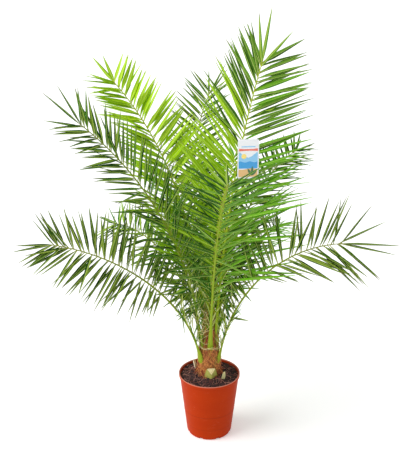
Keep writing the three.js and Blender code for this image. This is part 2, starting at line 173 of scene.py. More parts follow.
RIM_RADIUS, _, POT_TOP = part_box("pot")[1]
POT_WALL = 0.0026
FOOT_RADIUS = 0.088
FOOT_ROUND = 0.007
LIP_HEIGHT, LIP_OUT = 0.011, 0.0024
WALL_RINGS = (0.098, 0.107, 0.172)
DRAIN_SLOTS = 8
SLOT_INNER, SLOT_REACH = 0.0795, 0.016
POLE = 0.0004  # the radius of the small face that closes a turned shape at its axis
MOUND_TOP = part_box("soil")[1][2]
MOUND_HEIGHT = 0.013
SOIL_TOP = MOUND_TOP - MOUND_HEIGHT
TRUNK_FOOT, TRUNK_TOP = (corner[2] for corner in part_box("trunk"))
TRUNK_RADIUS = 0.042
SHOULDER, SHOULDER_TOP = 0.37, 0.395  # the heights between which the trunk's collar of red fibre lies
COLLAR_THREADS = 3
SPEAR_FOOT, SPEAR_TIP = (corner[2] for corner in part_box("spear_leaf"))
SPEAR_RADIUS = 0.008


# ---------------------------------------------------------------- numbers and colours


def mix(first, second, share):
    return first + (second - first) * share


def ease(share):
    """A smooth step from 0 to 1: 3s² − 2s³, held at its ends."""
    share = np.clip(share, 0, 1)
    return share * share * (3 - 2 * share)


def unit(vectors):
    return vectors / np.linalg.norm(vectors, axis=-1, keepdims=True)


def spread(values, axes=1):
    """The values with new axes of length one at the end, to be multiplied with points."""
    return np.reshape(values, np.shape(values) + (1,) * axes)


def turned(first, second, angle):
    """A direction turned from the first towards the second: cosine times one plus sine times the other."""
    return first * spread(np.cos(angle)) + second * spread(np.sin(angle))


def circle(sides):
    """The angles of a ring's corners, evenly spaced from 0."""
    return np.arange(sides) * 2 * np.pi / sides


def polar(radius, angle, height):
    """Points at a radius, an angle round the Z axis and a height."""
    return np.stack(np.broadcast_arrays(radius * np.cos(angle), radius * np.sin(angle), height), axis=-1)


def paint(code):
    """The linear colour of a six-digit hex code. A channel c becomes c / 12.92 up to 0.04045, and
    ((c + 0.055) / 1.055) to the power 2.4 above it."""
    channels = np.array([code >> 16, code >> 8 & 255, code & 255]) / 255
    linear = np.where(channels < 0.04045, channels / 12.92, ((channels + 0.055) / 1.055) ** 2.4)
    return tuple(linear.tolist())


def tint(colour, other, share):
    """A colour mixed with another by a share, as a plain tuple."""
    return tuple(mix(np.array(colour), np.array(other), share).tolist())


def lattice_noise(points, size, seed):
    """Smooth noise from −1 to 1. Random numbers stand on the corners of a cubic lattice of this size, and
    each point takes the eased mean of its cell's eight corners. A corner finds its number by a hash: its
    three whole numbers times three large primes, added up."""
    numbers = np.random.default_rng(seed).uniform(-1, 1, 4096)
    places = np.asarray(points) / size
    corners = np.floor(places).astype(np.int64)
    shares = ease(places - corners)
    total = np.zeros(places.shape[:-1])
    for offset in itertools.product((0, 1), repeat=3):
        keys = (corners + offset) @ np.array([73856093, 19349663, 83492791])
        weights = np.where(np.array(offset) == 1, shares, 1 - shares).prod(axis=-1)
        total += numbers[keys % len(numbers)] * weights
    return total


# ---------------------------------------------------------------- meshes


def tube_faces(count, rings, sides):
    """The faces of closed tubes whose points run tube by tube and ring by ring. Four-cornered faces join
    each ring to the next, and one face closes each end. A ring runs anticlockwise seen from the tube's
    last end, so the faces look outwards. Also the walls' pattern corners, round the ring and along it."""
    side = np.arange(sides)
    ring = np.arange(rings - 1)
    start = np.arange(count)[:, None] * rings * sides
    low = start[:, :, None] + ring[None, :, None] * sides
    after = (side + 1) % sides
    walls = np.stack([low + side, low + after, low + sides + after, low + sides + side], axis=-1)
    ends = np.stack([start + side[::-1], start + (rings - 1) * sides + side], axis=1)
    round_share = np.stack([side, side + 1, side + 1, side], axis=-1) / sides
    along_share = np.stack([ring, ring, ring + 1, ring + 1], axis=-1) / (rings - 1)
    corners = np.stack(np.broadcast_arrays(round_share[None], along_share[:, None]), axis=-1)
    return walls, ends, np.broadcast_to(corners, walls.shape + (2,))


class Shape:
    """The points, faces and finishes of one piece, gathered from whole arrays. It may start with tubes."""

    def __init__(self, *tubes):
        self.points, self.faces, self.finishes, self.corners = [], [], [], []
        self.count = 0
        if tubes:
            self.add_tubes(*tubes)

    def add_tubes(self, points, finishes=0, ends=None):
        """Closed tubes from points (tube, ring, side, xyz). finishes has one number for each wall, or fewer
        that spread over (tube, ring, side), and ends has those of each tube's first and last face."""
        tubes, rings, sides = points.shape[:3]
        walls, caps, corners = tube_faces(tubes, rings, sides)
        wall_finishes = np.broadcast_to(finishes, walls.shape[:3])
        if ends is None:
            ends = np.stack([wall_finishes[:, 0, 0], wall_finishes[:, -1, 0]], axis=1)
        end_corners = np.zeros(caps.shape + (2,)) + np.array([0, 1])[None, :, None, None]
        self.points.append(points.reshape(-1, 3))
        self.faces += (walls.reshape(-1, 4) + self.count).tolist()
        self.faces += (caps.reshape(-1, sides) + self.count).tolist()
        self.finishes += [wall_finishes.reshape(-1), np.broadcast_to(ends, (tubes, 2)).reshape(-1)]
        self.corners += [corners.reshape(-1, 2), end_corners.reshape(-1, 2)]
        self.count += tubes * rings * sides


def make_piece(name, shape, materials, nodes, slot, smooth=40):
    """A finished piece: its mesh, its materials, the body it rides on and the nodes that it stands for.
    Edges sharper than the smooth angle, in degrees, stay crisp."""
    mesh = bpy.data.meshes.new(name)
    mesh.from_pydata(np.concatenate(shape.points), [], shape.faces)
    for material in materials:
        mesh.materials.append(material)
    mesh.polygons.foreach_set("material_index", np.concatenate(shape.finishes).astype(np.int32))
    mesh.polygons.foreach_set("use_smooth", np.ones(len(shape.faces), bool))
    pattern = mesh.uv_layers.new(name="grain")
    pattern.data.foreach_set("uv", np.concatenate(shape.corners).astype(np.float32).reshape(-1))
    mesh.set_sharp_from_angle(angle=math.radians(smooth))
    mesh.update()
    piece = bpy.data.objects.new(name, mesh)
    bpy.context.scene.collection.objects.link(piece)
    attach(piece, BODY)
    if nodes:
        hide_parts(*nodes)
    return piece


def strand_tubes(lines, radii, sides=4):
    """Thin round tubes along lines (strand, station, xyz), whose radii spread over (strand, station). A
    ring is the point plus radius times cosine and sine along two directions square to the line. These come
    from a helper: level for a strand that is nearly upright from end to end, and upright for any other."""
    along = unit(np.gradient(lines, axis=1))
    chord = unit(lines[:, -1:] - lines[:, :1])
    helper = np.where(np.abs(chord[..., 2:]) > 0.8, [[[0.0, 1.0, 0.0]]], [[[0.0, 0.0, 1.0]]])
    sideways = unit(np.cross(helper, along))
    upward = np.cross(along, sideways)
    ring = turned(sideways[:, :, None], upward[:, :, None], circle(sides))
    return lines[:, :, None] + spread(np.broadcast_to(radii, lines.shape[:2]), 2) * ring


def lathe_points(profile, sides):
    """Rings of a profile of (radius, height) turned about the Z axis, as one tube."""
    radius, height = np.hsplit(np.asarray(profile), 2)
    return polar(radius, circle(sides), height)[None]


# ---------------------------------------------------------------- materials


class Value:
    """An output socket of a material's nodes. An expression on it adds the Math nodes that work it out."""

    def __init__(self, recipe, socket):
        self.recipe, self.socket = recipe, socket

    def math(self, operation, first, second):
        return self.recipe.node("Math", {"operation": operation}, {0: first, 1: second})

    def __add__(self, other):
        return self.math("ADD", self, other)

    def __sub__(self, other):
        return self.math("SUBTRACT", self, other)

    def __rsub__(self, other):
        return self.math("SUBTRACT", other, self)

    def __mul__(self, other):
        return self.math("MULTIPLY", self, other)

    __radd__ = __add__
    __rmul__ = __mul__


class Recipe:
    """A material that is being put together from nodes."""

    def __init__(self, name):
        self.material = bpy.data.materials.new(name)
        self.material.use_nodes = True
        self.tree = self.material.node_tree
        self.tree.nodes.clear()

    def node(self, kind, settings=None, inputs=None, output=0):
        """A new node of a kind. Its settings come first, then the values or links of its sockets."""
        node = self.tree.nodes.new("ShaderNode" + kind)
        for name, value in (settings or {}).items():
            setattr(node, name, value)
        for key, value in (inputs or {}).items():
            if isinstance(value, Value):
                self.tree.links.new(value.socket, node.inputs[key])
            else:
                node.inputs[key].default_value = value
        return Value(self, node.outputs[output]) if node.outputs else None

    def place(self, scale=(1, 1, 1)):
        """The piece's own coordinates in metres, stretched by a scale."""
        place = self.node("TexCoord", output="Object")
        return self.node("Mapping", {}, {"Vector": place, "Scale": scale})

    def grain(self, scale=(1, 1, 1)):
        """The piece's pattern coordinates, round and along each tube, stretched by a scale."""
        grain = self.node("UVMap", {"uv_map": "grain"})
        return self.node("Mapping", {}, {"Vector": grain, "Scale": scale})

    def axis(self, place, number):
        """The x, y or z of a place, as number 0, 1 or 2."""
        return self.node("SeparateXYZ", {}, {"Vector": place}, output=number)

    def noise(self, place, scale, detail=3.0, roughness=0.5):
        inputs = {"Vector": place, "Scale": scale, "Detail": detail, "Roughness": roughness}
        return self.node("TexNoise", {}, inputs)

    def between(self, value, low, high):
        """A smooth step of a value from 0 at low to 1 at high."""
        settings = {"interpolation_type": "SMOOTHSTEP"}
        return self.node("MapRange", settings, {"Value": value, "From Min": low, "From Max": high})

    def blend(self, share, first, second):
        """A colour mixed with another by a share. Plain colours get their alpha here."""
        colours = [c if isinstance(c, Value) else (*c, 1.0) for c in (first, second)]
        settings = {"data_type": "RGBA"}
        return self.node("Mix", settings, {0: share, 6: colours[0], 7: colours[1]}, output=2)

    def finish(self, colour, roughness, relief=None, depth=0.001, shine=0.5, **constants):
        """Ends the recipe in a shader. Relief is a height from 0 to 1, and depth is what 1 stands for."""
        colour = colour if isinstance(colour, Value) else (*colour, 1.0)
        inputs = {"Base Color": colour, "Roughness": roughness, "Specular IOR Level": shine, **constants}
        if relief is not None:
            inputs["Normal"] = self.node("Bump", {}, {"Height": relief, "Distance": depth, "Strength": 1.0})
        shader = self.node("BsdfPrincipled", {}, inputs)
        self.node("OutputMaterial", {}, {"Surface": shader})
        return self.material


def pot_plastic(colour):
    """Moulded plastic: slow changes of shade, a fine grain, rubbed marks, a painted highlight on the rim, and
    two faint darker rings, each between two soft steps of the wavering height."""
    recipe = Recipe("pot_plastic")
    slow = recipe.noise(recipe.place((1, 1, 2.5)), 7.0, 2.0)
    fine = recipe.noise(recipe.place(), 420.0, 2.0)
    marks = recipe.between(recipe.noise(recipe.place((1, 1, 6)), 38.0, 5.0, 0.7), 0.60, 0.72)
    deeper, brighter = tint(colour, (0.30, 0.02, 0.005), 0.35), tint(colour, (0.9, 0.12, 0.02), 0.1)
    # A darker colour for the two rings, and a pale one for the rubbed marks and the painted highlight on the
    # rim
    darker_ring, pale_wear_and_highlight = tint(colour, (0.12, 0.02, 0.01), 0.6), tint(colour, (1, 0.62, 0.48), 0.4)
    height = recipe.axis(recipe.place(), 2)
    # Painted highlight: the top few millimetres of the wall, at the rim, are lightened
    rim = recipe.between(height, POT_TOP - 0.0045, POT_TOP - 0.001)
    wavering = height + 0.010 * slow
    rings = 0
    for level, strength in ((0.110, 0.7), (0.050, 0.4)):
        over = recipe.between(wavering, level, level + 0.003)
        rings = rings + strength * (recipe.between(wavering, level - 0.002, level) * (1 - over))
    shade = recipe.blend(rings, recipe.blend(slow, deeper, brighter), darker_ring)
    wear_and_highlight = recipe.blend(marks * 0.16 + rim * 0.7, shade, pale_wear_and_highlight)
    return recipe.finish(wear_and_highlight, 0.36 + 0.12 * slow + 0.12 * marks, fine + 2.0 * slow, 0.00004, shine=0.03)


def earth(name, colour, other, scale=90.0):
    """Crumbly potting soil in two shades."""
    recipe = Recipe(name)
    coarse = recipe.noise(recipe.place(), scale, 4.0, 0.65)
    fine = recipe.noise(recipe.place(), 6.0 * scale, 3.0)
    shade = recipe.blend(recipe.between(coarse, 0.38, 0.64), colour, other)
    return recipe.finish(shade, 0.78 + 0.2 * fine, coarse + 0.5 * fine, 0.0016)


def fibre(name, colour, dark, stretch=(9.0, 9.0, 1.0), upper=None):
    """Matted plant fibre, streaked along its height. It may take another colour above the shoulder."""
    recipe = Recipe(name)
    streaks = recipe.noise(recipe.place(stretch), 38.0, 5.0, 0.7)
    patches = recipe.noise(recipe.place(), 55.0, 2.0)
    shade = recipe.blend(recipe.between(streaks + 0.35 * patches, 0.50, 0.88), dark, colour)
    if upper:
        above = recipe.between(recipe.axis(recipe.place(), 2), 0.375, 0.42)
        shade = recipe.blend(above * 0.8, shade, upper)
    return recipe.finish(shade, 0.72 + 0.25 * streaks, streaks, 0.0012)


def strand(name, colour):
    """One tone of dry threads."""
    recipe = Recipe(name)
    fine = recipe.noise(recipe.place(), 700.0, 2.0)
    return recipe.finish(colour, 0.55 + 0.3 * fine, fine, 0.0002)


def leaf(name, colour, gloss=0.42):
    """One plain tone of a leaflet, with fine veins along it and a waxy bloom that comes and goes."""
    recipe = Recipe(name)
    veins = recipe.noise(recipe.grain((70, 1.2, 1)), 1.0, 1.0)
    bloom = recipe.noise(recipe.place(), 60.0, 2.0)
    return recipe.finish(colour, gloss + 0.16 * bloom, veins, 0.0003, shine=0.08)


def stalk_skin(name, foot, middle, tip):
    """A frond's rib: pale and brown at the foot, then green, with long streaks and waxy patches."""
    recipe = Recipe(name)
    share = recipe.axis(recipe.grain(), 1)
    streaks = recipe.noise(recipe.grain((16, 3, 1)), 2.0, 4.0, 0.6)
    low = recipe.blend(recipe.between(share + 0.06 * streaks, 0.03, 0.12), foot, middle)
    whole = recipe.blend(recipe.between(share, 0.25, 0.75), low, tip)
    waxy = tint(middle, (0.8, 0.6, 0.22), 0.6)
    shade = recipe.blend(recipe.between(streaks, 0.45, 0.8) * 0.45, whole, waxy)
    return recipe.finish(shade, 0.34 + 0.25 * streaks, streaks, 0.0004, shine=0.12)


def card_print(name, colour, gloss=0.3):
    """Printed card: an even ink on a faintly mottled coating."""
    recipe = Recipe(name)
    mottle = recipe.noise(recipe.place(), 240.0, 2.0)
    shade = recipe.blend(mottle * 0.25, colour, tint(colour, (1, 1, 1), 0.18))
    return recipe.finish(shade, gloss + 0.1 * mottle, mottle, 0.00003)


# ---------------------------------------------------------------- pot and soil


def pot_profile(settings):
    """The pot's outline as (radius, height), from the middle underneath, out and up the wall, over the
    lip and down inside. The wall is straight, and each of its three low rings is a bell curve of the
    height. The foot's edge is a quarter circle and the rim's a half circle."""
    under_lip = POT_TOP - LIP_HEIGHT
    wall_top = RIM_RADIUS - LIP_OUT
    recess, floor_top, rim_round, ring_half = 0.0014, 0.004, 0.0013, 0.0014

    def wall(height):
        rings = sum(np.exp(-(((height - ring) / ring_half) ** 2)) for ring in WALL_RINGS)
        return mix(FOOT_RADIUS, wall_top, height / POT_TOP) + settings.ring_height * rings

    turn = np.linspace(0, np.pi / 2, 7)
    edge = FOOT_RADIUS - FOOT_ROUND * (1 - np.sin(turn)), FOOT_ROUND * (1 - np.cos(turn))
    heights = np.linspace(0.010, under_lip - 0.004, 90)
    lip_turn = np.linspace(0, np.pi, 9)
    rim = RIM_RADIUS - rim_round * (1 - np.cos(lip_turn)), POT_TOP - rim_round * (1 - np.sin(lip_turn))
    inside = np.linspace(POT_TOP - 0.003, FOOT_ROUND, 30)
    flat = [(POLE, recess), (0.030, recess), (0.058, recess), (0.062, 0.0), (0.074, 0.0), (0.079, 0.0)]
    under = [(wall(under_lip - 0.003), under_lip - 0.003), (RIM_RADIUS - 0.0006, under_lip - 0.0006)]
    lip = [(RIM_RADIUS, under_lip + 0.0008), (RIM_RADIUS - 0.0003, under_lip + 0.004)]
    lip += [(RIM_RADIUS, POT_TOP - 0.003)]
    inner = mix(FOOT_RADIUS, wall_top, inside / POT_TOP) - POT_WALL
    bottom = [(FOOT_RADIUS - POT_WALL - FOOT_ROUND, floor_top), (POLE, floor_top)]
    stretches = [flat, np.stack(edge, -1), np.stack([wall(heights), heights], -1), under, lip]
    return np.concatenate([*stretches, np.stack(rim, -1), np.stack([inner, inside], -1), bottom])


def pot_points(settings):
    """The pot as a lathe tube. Near each drain slot the outer points of the foot's edge move inwards: the
    pull is a soft-edged box in angle and in height, with rounded upper corners."""
    points = lathe_points(pot_profile(settings), settings.sides)
    radius = np.hypot(points[..., 0], points[..., 1])
    angle = np.arctan2(points[..., 1], points[..., 0])
    slot = np.abs((angle / (2 * np.pi) * DRAIN_SLOTS) % 1 - 0.5) * 2 * np.pi / DRAIN_SLOTS * FOOT_RADIUS
    height = points[..., 2]
    outside = np.arange(points.shape[1])[:, None] < 40
    edge = (radius > SLOT_INNER) & (height < SLOT_REACH) & outside
    roof = settings.slot_height - 0.35 * np.maximum(slot - 0.004, 0)
    pull = ease((settings.slot_width / 2 - slot) / 0.0012 + 0.5) * ease((roof - height) / 0.0016 + 0.5)
    inwards = np.where(edge, pull * (radius - SLOT_INNER), 0)
    points[..., :2] *= spread(1 - inwards / radius)
    return points


def soil_level(x, y):
    """The soil's height: level near the rim with a dip at it, rising to the mound round the trunk by a
    smooth step of the radius, with clods from two sizes of smooth noise."""
    radius = np.hypot(x, y)
    place = np.stack([x, y, 0 * x], axis=-1)
    mound_foot, mound_slope, rim_dip = 0.094, 0.034, 0.002
    mound = MOUND_HEIGHT * ease((mound_foot - radius) / mound_slope) - rim_dip * ease((radius - 0.09) / 0.025)
    clods = 0.0022 * lattice_noise(place, 0.011, 5) + 0.0011 * lattice_noise(place, 0.0045, 6)
    return SOIL_TOP - 0.001 + mound + clods


def soil_points(sides):
    """The soil as a lathe tube: a plain body under a top of many rings whose heights are the soil level."""
    edge = mix(FOOT_RADIUS, RIM_RADIUS - LIP_OUT, SOIL_TOP / POT_TOP) - POT_WALL - 0.0004
    top = np.linspace(edge, POLE, 80)
    body = [(POLE, 0.0045), (0.066, 0.0045), (0.0775, 0.0105), (0.0815, 0.014)]
    profile = np.concatenate([body, np.stack([top, 0 * top + SOIL_TOP - 0.002], -1)])
    points = lathe_points(profile, sides)
    surface = points[:, len(body) :]
    surface[..., 2] = soil_level(surface[..., 0], surface[..., 1])
    return points


def crumb_points(count, rng):
    """Loose crumbs: four rough rings of six points each, turned and scaled at random, on the soil."""
    inner, outer = 0.058, 0.111
    radius = np.sqrt(rng.uniform(inner**2, outer**2, count))
    angle = rng.uniform(0, 2 * np.pi, count)
    x, y = radius * np.cos(angle), radius * np.sin(angle)
    size = rng.uniform(0.0010, 0.0034, count) * rng.uniform(0.6, 1, count)
    rings = np.array([(0.45, -0.75), (1.0, -0.3), (0.9, 0.35), (0.4, 0.8)])
    ball = lathe_points(rings, 6)
    rough = rng.uniform(0.7, 1.3, (count, 4, 6, 1)) * ball
    turn = rng.uniform(0, 2 * np.pi, count)
    long = rng.uniform(1.0, 1.9, count)
    local_x, local_y = rough[..., 0] * spread(long, 2), rough[..., 1]
    cos, sin = spread(np.cos(turn), 2), spread(np.sin(turn), 2)
    crumbs = np.stack([local_x * cos - local_y * sin, local_x * sin + local_y * cos, rough[..., 2]], -1)
    centre = np.stack([x, y, soil_level(x, y) + 0.35 * size], axis=-1)
    return centre[:, None, None] + crumbs * spread(size, 3)


def wandering_lines(count, stations, step, bend, rng):
    """Flat wandering lines from the origin: each step turns the heading by a smooth random amount."""
    turns = rng.normal(0, bend, (count, stations)).cumsum(axis=1) / 2
    heading = rng.uniform(0, 2 * np.pi, (count, 1)) + turns.cumsum(axis=1) / 2
    steps = np.stack([np.cos(heading), np.sin(heading)], axis=-1) * spread(step, 2)
    return steps.cumsum(axis=1) - steps[:, :1]


def root_hair_points(count, rng):
    """Fine roots that lie on the soil, along wandering lines kept between the trunk and the rim."""
    inner, outer = 0.052, 0.112
    step = rng.uniform(0.0022, 0.0060, count)
    lines = wandering_lines(count, 10, step, 0.35, rng)
    radius = np.sqrt(rng.uniform(0.060**2, 0.108**2, count))
    angle = rng.uniform(0, 2 * np.pi, count)
    flat = lines + np.stack([radius * np.cos(angle), radius * np.sin(angle)], axis=-1)[:, None]
    distance = np.linalg.norm(flat, axis=-1, keepdims=True)
    flat *= np.clip(distance, inner, outer) / distance
    lift = 0.0009 + 0.004 * np.sin(np.linspace(0.1, 3.0, 10)) * spread(rng.uniform(0, 1, count) ** 3)
    line = np.concatenate([flat, (soil_level(flat[..., 0], flat[..., 1]) + lift)[..., None]], axis=-1)
    thick = spread(rng.uniform(0.00045, 0.0010, count)) * np.linspace(1, 0.35, 10)
    return strand_tubes(line, thick, 5)


# ---------------------------------------------------------------- trunk, fibres and stubs


def trunk_radius(height):
    """The trunk's radius at a height: nearly even at first, with a low bulge of half a sine, and then
    narrowing by a smooth step to the fibrous neck."""
    share = (height - TRUNK_FOOT) / (TRUNK_TOP - TRUNK_FOOT)
    bulb = 1 + 0.05 * np.sin(np.pi * np.clip(share / 0.4, 0, 1))
    return TRUNK_RADIUS * bulb * mix(1, 0.28, ease((share - 0.3) / 0.7))


def trunk_points(settings):
    """The trunk as a tube. Old leaf bases lie on it like tiles, in rows that are half a tile apart: each
    bulges in its middle and stands out at its upper edge. Fine upright ridges of fibre cover them."""
    height = np.linspace(TRUNK_FOOT - 0.004, TRUNK_TOP + 0.010, settings.rings)
    height, angle = np.meshgrid(height, circle(settings.sides), indexing="ij")
    row = (height - TRUNK_FOOT) / settings.tile_height + 0.22 * np.sin(3 * angle)
    across = ((angle / (2 * np.pi) * settings.tiles + 0.5 * (np.floor(row) % 2)) % 1) * 2 - 1
    bulge = (1 - across**4) * (0.35 + 0.65 * (row % 1) ** 1.5)
    close = 1 - ease((height - TRUNK_TOP) / 0.010)
    radius = trunk_radius(height) * np.sqrt(np.clip(close, 0.0004, 1))
    place = polar(radius, angle, height)
    ridges = lattice_noise(place * np.array([1, 1, 0.12]), 0.0022, 11)
    slant = spread(0.6 * height) * polar(1, angle, 0)[..., [1, 0, 2]]
    slanted = lattice_noise(place + slant, 0.006, 12)
    relief = settings.tile_relief * (bulge - 0.5) + 0.0009 * ridges + 0.0010 * slanted
    radius = np.maximum(radius - 0.0015 + relief * np.minimum(radius / 0.02, 1), 0.0003)
    return polar(radius, angle, height)[None]


def trunk_fibre_lines(count, rng):
    """Strands that wrap the trunk on slants both ways, just off its surface, and lift a little at one end:
    the height and the angle change evenly along a strand, with a sine on the angle."""
    share = np.linspace(0, 1, 9)
    low = rng.uniform(TRUNK_FOOT - 0.002, TRUNK_TOP - 0.06, count)
    rise = rng.uniform(0.02, 0.075, count)
    height = spread(low) + spread(rise) * share
    way = rng.choice([-1, 1], count) * rng.uniform(0.15, 1.3, count)
    wave = 0.06 * np.sin(share * 5 + spread(rng.uniform(0, 6, count)))
    angle = spread(rng.uniform(0, 2 * np.pi, count)) + spread(way) * share + wave
    off = 0.0012 + 0.004 * spread(rng.uniform(0, 1, count) ** 2) * share**2
    radius = trunk_radius(height) + off + 0.0015 * rng.uniform(0, 1, (count, 1))
    return polar(radius, angle, height)


def foot_fibre_lines(count, rng):
    """Strands that leave the trunk's lower end, arch outwards and come down on the soil among the roots.
    The height over the soil falls as one minus the share, to the power 1.6."""
    share = np.linspace(0, 1, 9)
    angle = spread(rng.uniform(0, 2 * np.pi, count)) + spread(rng.normal(0, 0.35, count)) * share
    out = spread(0.003 + 0.022 * rng.uniform(0, 1, count) ** 1.5)
    radius = TRUNK_RADIUS - 0.001 + out * share**0.8 + 0.0012 * np.sin(9 * share + 7 * angle[:, :1])
    x, y = radius * np.cos(angle), radius * np.sin(angle)
    rise = spread(rng.uniform(0.004, 0.030, count)) * (1 - share) ** 1.6
    return np.stack([x, y, soil_level(x, y) + 0.0006 + rise], axis=-1)


def neck_fibre_lines(count, rng):
    """Strands that stand up between the stalks above the trunk, spreading and wavering as they rise. The
    column that they fill narrows with height."""
    share = np.linspace(0, 1, 10)
    low = 0.33 + 0.20 * rng.uniform(0, 1, count) ** 1.3
    height = spread(low) + spread(rng.uniform(0.04, 0.12, count)) * share
    angle = spread(rng.uniform(0, 2 * np.pi, count)) + spread(rng.normal(0, 0.8, count)) * share
    column = mix(0.040, 0.020, ease((height - 0.36) / 0.16))
    radius = column * spread(np.sqrt(rng.uniform(0.15, 1, count)))
    sway = 0.0025 * np.sin(7 * share + spread(rng.uniform(0, 6, count)))
    return np.stack([(radius + sway) * np.cos(angle), (radius - sway) * np.sin(angle), height], axis=-1)


def curl_lines(count, rng):
    """Loose pale threads. The first few run round the front of the trunk's shoulder as a wavy collar, and
    the rest lie across the stalks on slants, looping out in slack arcs: half a sine of the share, with
    faster sines on it."""
    share = np.linspace(0, 1, 26)
    collar = np.arange(count) < COLLAR_THREADS
    start = np.where(collar, rng.uniform(-3.3, -2.8, count), rng.uniform(-3.3, -1.4, count))
    slant = rng.choice([-1, 1], count) * rng.uniform(0.5, 1.6, count)
    travel = np.where(collar, rng.uniform(2.6, 3.4, count), slant)
    angle = spread(start) + spread(travel) * share
    turns = spread(rng.uniform(6, 12, count))
    wave = np.sin(turns * share + spread(rng.uniform(0, 6, count)))
    low = np.where(collar, rng.uniform(0.377, 0.391, count), rng.uniform(0.39, 0.52, count))
    climb = np.where(collar, rng.normal(0, 0.003, count), rng.uniform(-0.03, 0.09, count))
    ripple = np.sin(17 * share + spread(rng.uniform(0, 6, count))) * spread(np.where(collar, 0.0025, 0))
    height = spread(low) + spread(climb) * share + 0.0035 * wave + ripple
    slack = np.where(collar, 0.003, rng.uniform(0.004, 0.020, count))
    radius = TRUNK_RADIUS + 0.002 + spread(slack) * np.sin(np.pi * share) + 0.0015 * wave
    return polar(radius, angle, height)


def stub_points(stub, sides=20):
    """A stub: its section is a triangle with a rounded back towards the trunk and a keel outwards. It leans
    out, narrows upwards, and ends in a cut that slopes down outwards, whose rings shrink to its middle."""
    angle = circle(sides)
    front = np.cos(angle) > 0
    share = np.abs((angle + np.pi) % (2 * np.pi) - np.pi) / (np.pi / 2)
    out = stub["deep"] * np.where(front, 0.75 * (1 - share), 0.08 * np.cos(angle))
    across = stub["wide"] / 2 * np.where(front, share * np.sign(np.sin(angle)), np.sin(angle))
    up = spread(np.array([-0.30, 0.1, 0.35, 0.6, 0.82, 0.95, 1.0, 1.0, 0.995, 0.985, 0.98]))
    size = np.array([1.12, 1.08, 0.98, 0.88, 0.79, 0.74, 0.71, 0.66, 0.56, 0.30, 0.02])
    height = stub["tall"] * up
    local_out = out * spread(size)
    lift = height - stub["slope"] * ease(up + 0.05) * local_out
    centre = stub["foot"] + math.tan(math.radians(stub["lean"])) * height
    radial = centre + local_out
    sideways = across * spread(size)
    turn = math.radians(stub["turn"])
    x = radial * math.cos(turn) - sideways * math.sin(turn)
    y = radial * math.sin(turn) + sideways * math.cos(turn)
    return np.stack([x, y, MOUND_TOP + lift], axis=-1)[None]


# ---------------------------------------------------------------- fronds


def directions(frond, t):
    """Unit vectors along, across and above the rib at shares t of its length. The heading is turn plus
    sweep times t squared, and the slope goes from rise to end with t to the power late. Across starts level
    and turns about along by roll plus twist times t. Above is across times along."""
    t = np.asarray(t, float)
    held = np.clip(t, 0, 1)
    around = np.radians(frond["turn"] + frond["sweep"] * held**2)
    slope = np.radians(mix(frond["rise"], frond["end"], held ** frond["late"]))
    along = polar(np.cos(slope), around, np.sin(slope))
    flat = np.stack([np.sin(around), -np.cos(around), 0 * around], axis=-1)
    lean = np.radians(frond["roll"] + frond["twist"] * held)
    across = turned(flat, -np.cross(along, flat), lean)
    return along, across, np.cross(across, along)


def rib_point(frond, t):
    """Points on the rib's line. It grows in short straight steps along the direction at each step's middle,
    and runs straight on past its two ends."""
    t = np.asarray(t, float)
    steps = directions(frond, (np.arange(RIB_STEPS) + 0.5) / RIB_STEPS)[0] * frond["length"] / RIB_STEPS
    base = math.radians(frond.get("base", frond["turn"]))
    foot = polar(frond["foot"], base, frond["height"])
    line = np.vstack([foot, foot + np.cumsum(steps, axis=0)])
    places = np.linspace(0, 1, RIB_STEPS + 1)
    point = np.stack([np.interp(t, places, line[:, axis]) for axis in range(3)], axis=-1)
    over = (t - np.clip(t, 0, 1))[..., None]
    return point + over * frond["length"] * directions(frond, t)[0]


def rib_size(frond, t):
    """The rib's width and depth: it narrows with a square over the stalk, and evenly from there to the
    end. The stalk is flatter than the rib."""
    flare = (1 - np.clip(t / BLADE_START, 0, 1)) ** 2
    thin = mix(1, RIB_TIP / RIB_WIDE, np.clip((t - BLADE_START) / (1 - BLADE_START), 0, 1))
    wide = mix(RIB_WIDE, frond["stalk"], flare) * thin
    return wide, mix(RIB_WIDE, STALK_DEPTH * frond["stalk"], flare) * thin


def rib_points(frond, settings):
    """The rib as a tube. Its lowest end dips into the trunk by a smooth step. The section is round below,
    flatter above and channelled at the foot. It lies along the trunk at the foot, and a smooth step turns
    it to the blade's own direction where the blade begins."""
    buried, dip_length, dip_depth = 0.03, 0.05, 0.022
    low = np.linspace(-buried / frond["length"], 0.12, 34)
    stations = np.concatenate([low, np.linspace(0.135, 1, 62)])
    point = rib_point(frond, stations)
    distance = np.hypot(point[:, 0], point[:, 1])
    dip = dip_depth * (1 - ease((stations * frond["length"] + buried) / dip_length))
    point[:, :2] *= spread(1 - dip / distance)
    base = math.radians(frond.get("base", frond["turn"]))
    along, blade, _ = directions(frond, stations)
    round_trunk = np.array([math.sin(base), -math.cos(base), 0])
    across = mix(round_trunk, blade, spread(ease((stations - 0.02) / 0.2)))
    across = unit(across - along * (across * along).sum(axis=1, keepdims=True))
    above = np.cross(across, along)
    wide, deep = rib_size(frond, stations)
    angle = circle(settings.rib_sides)
    rise = np.sin(angle)
    stalk = spread(1 - ease((stations - 0.1) / 0.25))
    channel = 0.45 * stalk * np.maximum(rise, 0) ** 2
    upper = np.where(rise > 0, mix(0.9, 0.55, stalk), 1.0)
    out = spread(np.cos(angle) * wide[:, None] / 2) * across[:, None]
    up = spread((rise * upper - channel) * deep[:, None] / 2) * above[:, None]
    return (point[:, None] + out + up)[None]


